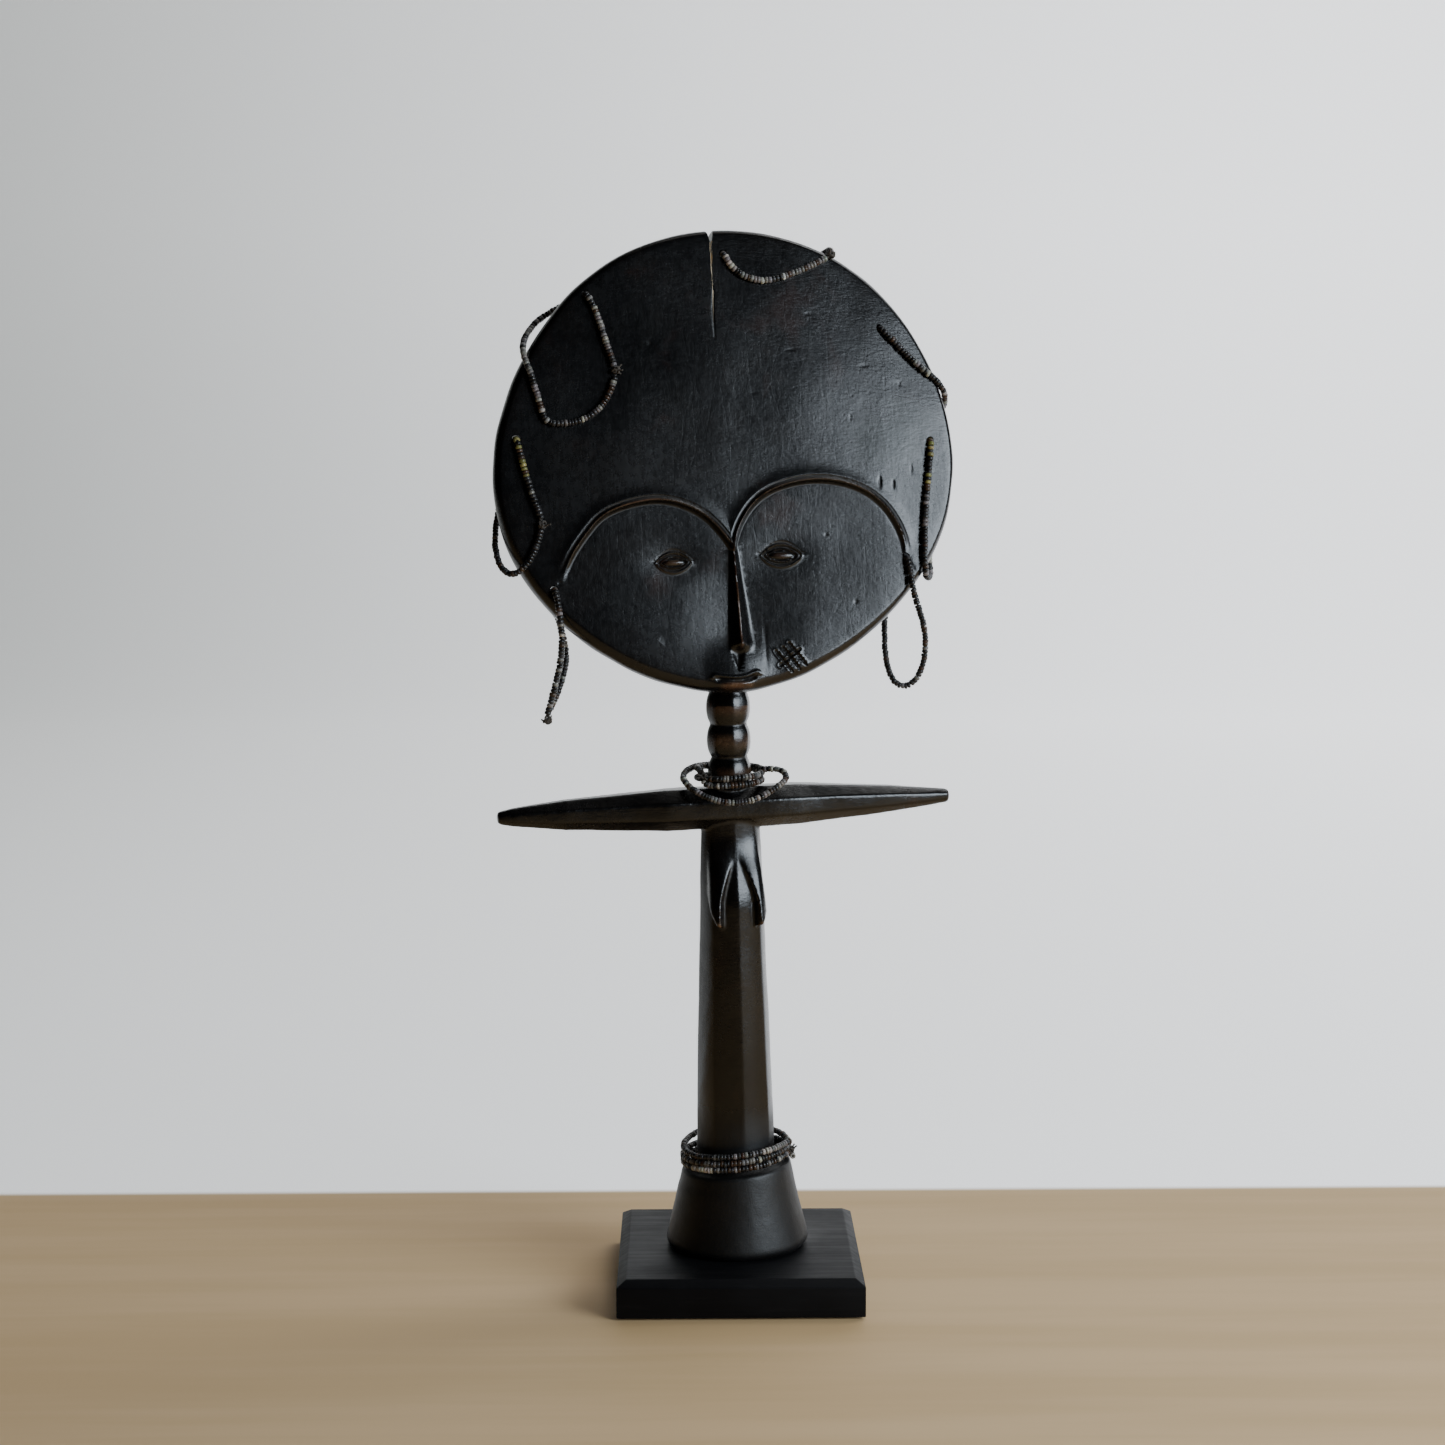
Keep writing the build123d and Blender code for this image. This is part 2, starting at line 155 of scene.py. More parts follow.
# The loose loop of the neck strand, in FIGURE, from the back of the two turns round to their right side.
NECK_LOOP = [
    (3.5, 8.9, 158.2), (-3.0, 9.8, 160.4), (-9.5, 8.0, 160.6), (-14.5, 3.5, 159.2), (-16.3, -3.0, 157.4),
    (-13.9, -9.6, 154.6), (-8.0, -13.6, 151.7), (-0.8, -15.0, 150.6), (6.5, -14.4, 151.9), (12.5, -12.6, 154.8),
    (17.2, -10.0, 157.4), (16.6, -5.4, 159.8), (12.6, -3.6, 159.9), (10.4, -2.6, 158.9),
]
NECK_KNOT = (-9.6, -4.6, 158.2)
NECK_COIL_RADIUS = 9.2
HIP_KNOT = (18.2, -8.0, 32.4)
HIP_COIL_RADIUS = 17.7
HIP_COIL_HEIGHT = 31.3
HIP_COIL_TILT = math.radians(-4.0)


# ---------------------------------------------------------------- small tools
def placed(matrix, points):
    """Points in millimetres in HEAD or FIGURE, as an array of metres in the row frame."""
    points = np.asarray(points, dtype=float)
    turn = np.array(matrix.to_3x3())
    return (points @ turn.T + np.array(matrix.translation)) * MM


def local(matrix, points):
    """The other way: metres in the row frame to millimetres in HEAD or FIGURE."""
    return (np.asarray(points) / MM - np.array(matrix.translation)) @ np.array(matrix.to_3x3())


def new_object(name, data):
    result = bpy.data.objects.new(name, data)
    bpy.context.collection.objects.link(result)
    return result


def baked_mesh(thing):
    """A new mesh of what an object's modifiers or curve make."""
    bpy.context.view_layer.update()
    graph = bpy.context.evaluated_depsgraph_get()
    return bpy.data.meshes.new_from_object(thing.evaluated_get(graph))


def new_mesh(name, points, faces):
    mesh = bpy.data.meshes.new(name)
    mesh.from_pydata([tuple(p) for p in points], [], faces)
    mesh.update()
    return mesh


def mesh_piece(name, points, faces, body, *replaced):
    piece = new_object(name, new_mesh(name, points, faces))
    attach(piece, body)
    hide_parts(*replaced)
    return piece


def smooth_shade(piece, angle=None):
    mesh = piece.data
    mesh.polygons.foreach_set("use_smooth", [True] * len(mesh.polygons))
    if angle:
        mesh.set_sharp_from_angle(angle=math.radians(angle))
    mesh.update()


def bare_object(name, points, faces):
    """A closed mesh object with its faces looking outwards, in no body yet."""
    mesh = new_mesh(name, points, faces)
    skin = bmesh.new()
    skin.from_mesh(mesh)
    bmesh.ops.recalc_face_normals(skin, faces=skin.faces)
    skin.to_mesh(mesh)
    skin.free()
    mesh.update()
    return new_object(name, mesh)


def remove(thing):
    mesh = thing.data
    bpy.data.objects.remove(thing)
    bpy.data.meshes.remove(mesh)


def boolean(piece, other, operation):
    """Joins other to piece or cuts it out, bakes the result and removes other."""
    modifier = piece.modifiers.new(operation, "BOOLEAN")
    modifier.object = other
    modifier.operation = operation
    modifier.solver = "EXACT"
    if "MANIFOLD" in modifier.bl_rna.properties["solver"].enum_items:
        modifier.solver = "MANIFOLD"
    apply_modifiers(piece)
    remove(other)


def apply_modifiers(piece):
    """Bakes a piece's modifiers into its mesh."""
    result = baked_mesh(piece)
    old = piece.data
    piece.modifiers.clear()
    piece.data = result
    bpy.data.meshes.remove(old)


def step(x, low, high):
    """0 below low, 1 above high, smooth between."""
    t = np.clip((x - low) / (high - low), 0.0, 1.0)
    return t * t * (3 - 2 * t)


def full_turn(count):
    """Angles of count equal steps round a circle, from 0."""
    return np.linspace(0, 2 * math.pi, count, endpoint=False)


def bell(x, width, power=2.0):
    return np.exp(-np.abs(x / width) ** power)


def curve_through(points, count):
    """A Catmull-Rom curve through a few points, as count points."""
    p = np.array(points, dtype=float)
    p = np.vstack([2 * p[0] - p[1], p, 2 * p[-1] - p[-2]])
    spans = len(p) - 3
    t = np.linspace(0, spans - 1e-6, count)
    k = t.astype(int)
    f = (t - k)[:, None]
    a, b, c, d = p[k], p[k + 1], p[k + 2], p[k + 3]
    return 0.5 * (2 * b + (c - a) * f + (2 * a - 5 * b + 4 * c - d) * f**2 + (3 * b - a - 3 * c + d) * f**3)


# ---------------------------------------------------------------- camera
CAMERA_LENS = 64.08
SENSOR_WIDTH = 36.0
CAMERA_PLACE = (-0.0156, -0.8356, 0.2877)
CAMERA_TURN = (90 - 6.785, 0.11, -0.73)


def make_camera():
    data = bpy.data.cameras.new("camera")
    data.lens = CAMERA_LENS
    data.sensor_width = SENSOR_WIDTH
    data.clip_start = 0.05
    camera = new_object("camera", data)
    camera.location = CAMERA_PLACE
    camera.rotation_euler = [math.radians(turn) for turn in CAMERA_TURN]
    bpy.context.scene.camera = camera


make_camera()


# ---------------------------------------------------------------- strings of beads
BLACK = (0.006, 0.006, 0.007)
CHARCOAL = (0.022, 0.021, 0.022)
BROWN = (0.045, 0.024, 0.014)
GREY = (0.16, 0.15, 0.14)
CREAM = (0.30, 0.28, 0.24)
WHITE = (0.55, 0.54, 0.51)
YELLOW = (0.30, 0.25, 0.085)
OLIVE = (0.17, 0.17, 0.05)
RUST = (0.16, 0.035, 0.018)


def new_curve(name, resolution):
    curve = bpy.data.curves.new(name, "CURVE")
    curve.dimensions = "3D"
    curve.resolution_u = resolution
    return curve


def add_spline(curve, points):
    """A NURBS spline of order 3 that starts and ends at its first and last control point."""
    spline = curve.splines.new("NURBS")
    spline.points.add(len(points) - 1)
    for knot, place in zip(spline.points, points):
        knot.co = (*place, 1.0)
    spline.order_u = 3
    spline.use_endpoint_u = True
    return spline


def line_of(name, points):
    """The smooth line of a cord: a NURBS spline with these control points, read back as points."""
    curve = new_curve(name + "_line", 16)
    add_spline(curve, points)
    holder = new_object(name + "_line", curve)
    mesh = baked_mesh(holder)
    line = np.array([v.co[:] for v in mesh.vertices])
    bpy.data.objects.remove(holder)
    bpy.data.curves.remove(curve)
    bpy.data.meshes.remove(mesh)
    return line


def along(line):
    return np.concatenate([[0.0], np.cumsum(np.linalg.norm(np.diff(line, axis=0), axis=1))])


def point_at(line, distances, at):
    return np.column_stack([np.interp(at, distances, line[:, k]) for k in range(3)])


def cross_frame(direction):
    """Two directions across a line's own."""
    helper = np.array([0.0, 0.0, 1.0]) if abs(direction[2]) < 0.9 else np.array([1.0, 0.0, 0.0])
    first = np.cross(direction, helper)
    first /= np.linalg.norm(first)
    return first, np.cross(direction, first)


# One drawn-glass bead: a short barrel with a bore, as (along, out) rings of BEAD_AROUND points each.
BEAD_SECTION = [
    (-0.36, 0.40), (-0.5, 0.66), (-0.43, 0.90), (-0.2, 1.02),
    (0.2, 1.02), (0.43, 0.90), (0.5, 0.66), (0.36, 0.40),
]
BEAD_AROUND = 12


STRAND_THREAD_RADIUS = 0.32
STRAND_THREAD_TINT = (0.09, 0.075, 0.06)


def unit(vector):
    return vector / np.linalg.norm(vector)


def bead_string(name, route, pitch, palette, seed, body, replaced):
    """Thread and beads in one mesh that follows the route's spline. Returns the piece and its line."""
    rng = random.Random(seed)
    line = line_of(name, route)
    distances = along(line)
    length = distances[-1]
    points, faces, tints, kinds = [], [], [], []

    def add_ring_strip(rings, closed_across, tint, kind):
        start = len(points)
        around = len(rings[0])
        for ring in rings:
            points.extend(ring)
            tints.extend([tint] * around)
        count = len(rings)
        for i in range(count if closed_across else count - 1):
            a = start + i * around
            b = start + ((i + 1) % count) * around
            for j in range(around):
                k = (j + 1) % around
                faces.append((a + j, b + j, b + k, a + k))
                kinds.append(kind)
        if not closed_across:
            faces.append(tuple(start + j for j in range(around)))
            faces.append(tuple(start + (count - 1) * around + j for j in reversed(range(around))))
            kinds.extend([kind, kind])

    # the thread that shows between beads
    thread_radius = STRAND_THREAD_RADIUS * MM
    steps = max(12, int(length / (1.6 * MM)))
    at = np.linspace(0, length, steps)
    centres = point_at(line, distances, at)
    turn = full_turn(7)
    rings = []
    for i, centre in enumerate(centres):
        before = centres[max(i - 1, 0)]
        after = centres[min(i + 1, steps - 1)]
        first, second = cross_frame(unit(after - before))
        rings.append([
            tuple(centre + thread_radius * (math.cos(t) * first + math.sin(t) * second)) for t in turn
        ])
    add_ring_strip(rings, False, STRAND_THREAD_TINT, 1)

    # the beads
    angles = full_turn(BEAD_AROUND)
    place = 0.5 * pitch * MM
    while place < length - 0.4 * pitch * MM:
        size = rng.uniform(0.98, 1.1)
        long = pitch * MM * rng.uniform(0.78, 1.12)
        ends = point_at(line, distances, [max(place - 0.4 * MM, 0), min(place + 0.4 * MM, length)])
        centre = point_at(line, distances, [place])[0]
        direction = unit(unit(ends[1] - ends[0]) + np.array([rng.gauss(0, 0.07) for _ in range(3)]))
        first, second = cross_frame(direction)
        shift = (rng.gauss(0, 0.05) * first + rng.gauss(0, 0.05) * second) * MM
        oval = rng.uniform(0.96, 1.04)
        tint = palette(place / length, rng)
        rings = []
        for ahead, out in BEAD_SECTION:
            reach = BEAD_RADIUS * MM * size * out
            middle = centre + shift + direction * long * ahead
            rings.append([
                tuple(middle + reach * (oval * math.cos(t) * first + math.sin(t) * second / oval))
                for t in angles
            ])
        add_ring_strip(rings, True, tint, 0)
        place += long * 1.03

    piece = mesh_piece(name, points, faces, body, *replaced)
    colours = piece.data.color_attributes.new("bead_tint", "FLOAT_COLOR", "POINT")
    colours.data.foreach_set("color", np.array([(*t, 1.0) for t in tints]).ravel())
    piece.data.materials.append(bead_glass())
    piece.data.materials.append(thread_cotton())
    piece.data.polygons.foreach_set("material_index", kinds)
    smooth_shade(piece)
    return piece, line, length


def weighted(rng, choices):
    if len(choices) == 1:
        return choices[0][0]
    total = sum(weight for _, weight in choices)
    mark = rng.random() * total
    for value, weight in choices:
        mark -= weight
        if mark <= 0:
            return value
    return choices[-1][0]


def vary(tint, rng):
    shade = rng.uniform(0.75, 1.25)
    return tuple(min(1.0, channel * shade * rng.uniform(0.93, 1.07)) for channel in tint)


def glass(choices, run=None, start=0.0, end=0.0):
    """A palette: tints with their weights, and other ones in the run between two shares of the strand."""
    def tint_at(share, rng):
        return vary(weighted(rng, run if start < share < end else choices), rng)

    return tint_at


# mostly black and dark brown beads, with some dusty grey and a few pale ones
old_glass = glass([(BLACK, 30), (CHARCOAL, 28), (BROWN, 14), (GREY, 22), (CREAM, 6)])
dark_mix = [(BLACK, 52), (CHARCOAL, 26), (BROWN, 14), (GREY, 6), (CREAM, 2)]
dark_glass = glass(dark_mix)
grey_glass = glass([(BLACK, 18), (CHARCOAL, 20), (BROWN, 6), (GREY, 46), (CREAM, 6), (WHITE, 4)])
# strands 4 and 5 have a run of yellow beads below their holes
left_ear_glass = glass(dark_mix, [(YELLOW, 30), (OLIVE, 20), (BLACK, 30), (BROWN, 20)], 0.66, 0.86)
right_ear_glass = glass(
    [(BLACK, 44), (CHARCOAL, 26), (BROWN, 14), (GREY, 10), (CREAM, 6)],
    [(YELLOW, 24), (OLIVE, 36), (BLACK, 24), (BROWN, 16)], 0.24, 0.40,
)
# mixed beads, with one run of bright white ones at the front and a few red-brown ones
hip_glass = glass(
    [(BLACK, 28), (CHARCOAL, 28), (BROWN, 14), (GREY, 26), (CREAM, 3), (RUST, 1)], [(WHITE, 1)], 0.212, 0.236
)


KNOT_THREAD_RADIUS = 0.27
COMMON_KNOT = (1.55, 2.6, 4)  # size, reach and number of the cut ends


def knot_tuft(name, middle, seed, body, replaced, outward, look=COMMON_KNOT):
    """A tied thread: a tangle of loops in a small ball, with cut ends that stand out of it."""
    size, reach, ends = look
    rng = random.Random(seed)
    outward = Vector(outward).normalized()
    curve = new_curve(name, 6)
    curve.bevel_depth = KNOT_THREAD_RADIUS * MM
    curve.bevel_resolution = 3
    curve.use_fill_caps = True
    runs = []
    for _ in range(4):
        axis = Vector([rng.gauss(0, 1) for _ in range(3)]).normalized()
        first = axis.orthogonal().normalized()
        second = axis.cross(first)
        run = []
        for step_index in range(9):
            angle = step_index * 2 * math.pi / 8 * 1.15
            reach_out = size * rng.uniform(0.62, 0.9)
            run.append(first * math.cos(angle) * reach_out + second * math.sin(angle) * reach_out
                       + axis * rng.uniform(-0.5, 0.5) * size)
        runs.append(run)
    for _ in range(ends):
        away = (outward + Vector([rng.gauss(0, 0.75) for _ in range(3)])).normalized()
        bend = Vector([rng.gauss(0, 0.35) for _ in range(3)])
        length = reach * rng.uniform(0.75, 1.15)
        runs.append([away * length * t + bend * t * t for t in (0.1, 0.4, 0.7, 1.0)])
    for run in runs:
        spline = add_spline(curve, [Vector(middle) + place * MM for place in run])
        for knot in spline.points:
            knot.radius = rng.uniform(0.8, 1.1)
    curve.materials.append(thread_cotton())
    holder = new_object(name + "_curve", curve)
    mesh = baked_mesh(holder)
    bpy.data.objects.remove(holder)
    piece = new_object(name, mesh)
    mesh.polygons.foreach_set("use_smooth", [True] * len(mesh.polygons))
    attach(piece, body)
    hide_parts(replaced)
    return piece


HEAD_STRANDS = {
    1: (grey_glass, "figure", "loose"),
    2: (grey_glass, "figure", "loose"),
    3: (old_glass, "figure", "loose"),
    4: (left_ear_glass, "figure", "hanging"),
    5: (right_ear_glass, "figure", "hanging"),
    6: (old_glass, "left_loop", "hanging"),
    7: (dark_glass, "right_loop", "hanging"),
}
KNOT_OUTWARD = {
    1: (0.4, 0.0, 1.0), 2: (0.6, 0.7, 0.5), 3: (0.0, 0.5, -1.0), 4: (0.8, 0.4, 0.8), 5: (0.3, 0.2, -1.0),
    6: (0.3, -1.0, 0.4), 7: (-0.3, 0.4, -1.0),
}


# the knots that aren't like the rest
KNOT_LOOKS = {2: (1.7, 2.2, 4), 6: (2.15, 1.9, 2)}
HIP_KNOT_LOOK = (1.4, 2.3, 6)
HEAD_PITCH = 1.18
NECK_STRAND_PITCH = 1.16
HIP_PITCH = 1.2


def cord_of_beads(name, route, pitch, palette, seed, body, replaced):
    strand, line, length = bead_string(name, route, pitch, palette, seed, body, replaced)


def make_head_strands():
    for number, (palette, body, lay) in HEAD_STRANDS.items():
        knot = knot_tuft(
            f"head_knot_{number}_thread", placed(HEAD, [KNOTS[number]])[0], 40 + number, body,
            f"head_knot_{number}", HEAD.to_3x3() @ Vector(KNOT_OUTWARD[number]),
            KNOT_LOOKS.get(number, COMMON_KNOT),
        )
        cord_of_beads(
            f"head_strand_{number}_beads", placed(HEAD, ROUTES[number]), HEAD_PITCH, palette,
            10 + number, body, [f"head_strand_{number}"],
        )


def neck_route():
    """Knot, 1.6 turns about the neck, the loose loop over the arms, and 0.6 turn back to the knot."""
    def turn_points(start, end, low, high, steps):
        points = []
        for index in range(steps):
            share = index / (steps - 1)
            angle = math.radians(start + (end - start) * share)
            wide = NECK_COIL_RADIUS + 1.7
            deep = NECK_COIL_RADIUS + 0.6
            points.append((wide * math.cos(angle), deep * math.sin(angle), low + (high - low) * share))
        return points

    first = turn_points(214, 205.6 + 562, 155.5, 159.0, 22)
    last = turn_points(352, 548, 159.6, 160.8, 9)
    return [(-9.9, -4.9, 157.4)] + first + NECK_LOOP[1:-1] + last + [(-10.0, -4.4, 159.2)]


def hip_route():
    """Three turns that rise round the body, the top one lifted at the right and back."""
    points = []
    turns = 3.0
    steps = 42
    start = math.atan2(HIP_KNOT[1], HIP_KNOT[0])
    tilt = Matrix.Rotation(HIP_COIL_TILT, 3, "Y")
    for index in range(steps + 1):
        share = index / steps
        angle = start + 0.04 + (turns * 2 * math.pi - 0.08) * share
        height = -2.72 + 6.15 * share + 0.12 * math.sin(2.3 * angle)
        turn = share * turns
        if turn > 2.0:
            lift = math.sin(min(1.0, (turn - 2.02) / 0.62) * math.pi)
            height += 2.0 * max(0.0, lift) ** 1.5
        radius = HIP_COIL_RADIUS + 0.35 + 0.15 * math.sin(2.1 * angle + 1.0)
        if index in (0, steps):
            radius += 1.0
        if turn > 2.0:
            radius -= 0.5 * math.sin(min(1.0, turn - 2.0) * math.pi)
        place = tilt @ Vector((radius * math.cos(angle), radius * math.sin(angle), height))
        points.append((place.x, place.y, place.z + HIP_COIL_HEIGHT))
    return points


def make_body_strands():
    knot_place = placed(FIGURE, [NECK_KNOT])[0]
    outward = FIGURE.to_3x3() @ Vector((-1.0, -0.6, 0.2))
    knot = knot_tuft("neck_knot_thread", knot_place, 61, "figure", "neck_knot", outward)
    cord_of_beads(
        "neck_strand_beads", placed(FIGURE, neck_route()), NECK_STRAND_PITCH, old_glass, 62,
        "figure", ["neck_strand_turns", "neck_strand_loop"],
    )

    knot_place = placed(FIGURE, [HIP_KNOT])[0]
    outward = FIGURE.to_3x3() @ Vector((1.0, -0.15, 0.1))
    # the knot's thread sits a little into the coil
    knot_middle = knot_place - np.array(FIGURE.to_3x3() @ Vector((1.3 * MM, 0.0, 0.0)))
    knot = knot_tuft("hip_knot_thread", knot_middle, 71, "hip_strand", "hip_knot", outward, HIP_KNOT_LOOK)
    cord_of_beads(
        "hip_strand_beads", placed(FIGURE, hip_route()), HIP_PITCH, hip_glass, 72,
        "hip_strand", ["hip_strand_turns"],
    )


# ---------------------------------------------------------------- the carved face, in HEAD
LEFT_BROW = [
    (-56.2, -38.2), (-52.8, -30.3), (-46.8, -22.7), (-42.4, -17.7), (-33.6, -14.5), (-24.8, -13.0),
    (-17.3, -14.3), (-9.9, -17.6), (-4.6, -22.8), (-0.6, -28.4),
]
RIGHT_BROW = [
    (-0.3, -28.6), (1.0, -23.4), (4.5, -17.0), (10.0, -11.5), (18.1, -8.3), (28.2, -6.7), (38.2, -8.1),
    (46.8, -11.7), (53.3, -18.3), (57.0, -26.2), (57.8, -32.1),
]
# these close the outline of the face below the brows, outside the disc
BELOW_FACE = [(75.0, -60.0), (0.0, -110.0), (-75.0, -60.0)]
NOSE_TOP = (-0.3, -27.5)
NOSE_TIP = (0.9, -60.3)
# Each eye: its middle, half length and half height of the outer lid line, and turn.
EYES = [((-19.7, -33.5), 5.9, 3.2, math.radians(2)), ((15.9, -31.7), 6.9, 3.6, math.radians(0))]
MOUTH = [(-7.6, -70.9), (-4.5, -71.5), (-0.5, -71.8), (3.0, -71.3), (6.0, -70.1)]
CHEEK_MARK = [
    ((12.7, -62.6), (17.8, -69.1)), ((15.1, -61.4), (20.4, -68.5)), ((17.1, -60.1), (22.5, -67.0)),
    ((13.9, -67.1), (20.4, -62.1)),
]
CRACK = [
    (-7.6, 80.0), (0.2, 80.0), (-2.6, 73.7), (-3.1, 70.5), (-3.2, 54.5), (-3.5, 54.5),
    (-3.75, 70.5), (-4.4, 73.1),
]


def distance_to(points, line):
    """The distance from each point (u, v) to a polyline, and the share of the line before its nearest place."""
    line = np.asarray(line, dtype=float)
    lengths = np.linalg.norm(np.diff(line, axis=0), axis=1)
    starts = np.concatenate([[0.0], np.cumsum(lengths)])
    best = np.full(len(points), 1e9)
    place = np.zeros(len(points))
    for a, b, start, length in zip(line[:-1], line[1:], starts, lengths):
        t = np.clip(((points - a) @ (b - a)) / length**2, 0, 1)
        d = np.linalg.norm(points - (a + t[:, None] * (b - a)), axis=1)
        closer = d < best
        best[closer] = d[closer]
        place[closer] = (start + t[closer] * length) / starts[-1]
    return best, place


def inside(points, polygon):
    result = np.zeros(len(points), dtype=bool)
    x, y = points[:, 0], points[:, 1]
    for (ax, ay), (bx, by) in zip(polygon, polygon[1:] + polygon[:1]):
        crosses = (ay > y) != (by > y)
        rise = by - ay if abs(by - ay) > 1e-9 else 1e-9
        result ^= crosses & (x < (bx - ax) * (y - ay) / rise + ax)
    return result


def ripple(points, wavelength, seed, waves=14):
    """Smooth unevenness about 1 high, the same every run: a sum of sines in many directions."""
    rng = np.random.default_rng(seed)
    total = np.zeros(len(points))
    for _ in range(waves):
        direction = rng.normal(size=points.shape[1])
        direction *= 2 * math.pi / wavelength * rng.uniform(0.6, 1.5) / np.linalg.norm(direction)
        total += np.sin(points @ direction + rng.uniform(0, 2 * math.pi))
    return total / math.sqrt(waves)


def brow_lines():
    """The two brow arches as dense lines, with the kinks between their measured points evened out."""
    lines = []
    for points in (LEFT_BROW, RIGHT_BROW):
        line = np.array(curve_through(points, 90), dtype=float)
        for _ in range(45):
            line[1:-1] = 0.25 * line[:-2] + 0.5 * line[1:-1] + 0.25 * line[2:]
        lines.append(line)
    return lines


# small dents in the front of the disc: place (u, v), half length along u and v, depth
NICKS = [
    (49.6, -8.3, 0.45, 1.5, 0.32), (54.2, -9.0, 0.4, 1.2, 0.26), (21.5, 35.2, 1.8, 0.35, 0.08),
    (40.5, 13.0, 0.4, 1.0, 0.07), (57.8, 24.0, 0.5, 0.8, 0.08), (-25.0, 37.0, 0.7, 0.9, 0.10),
    (40.0, -47.0, 0.6, 0.5, 0.14), (8.5, 21.0, 1.3, 0.35, 0.06), (60.5, -4.0, 0.4, 1.6, 0.09),
    (28.0, 47.0, 1.6, 0.4, 0.07), (31.0, -25.0, 0.5, 0.5, 0.10), (46.0, 30.0, 1.4, 0.5, 0.07),
]


def lens(x):
    """A lid's arch: 1 in the middle, 0 at the corners at -1 and 1, and below 0 past them."""
    return np.sign(1 - x**2) * np.abs(1 - x**2) ** 0.8


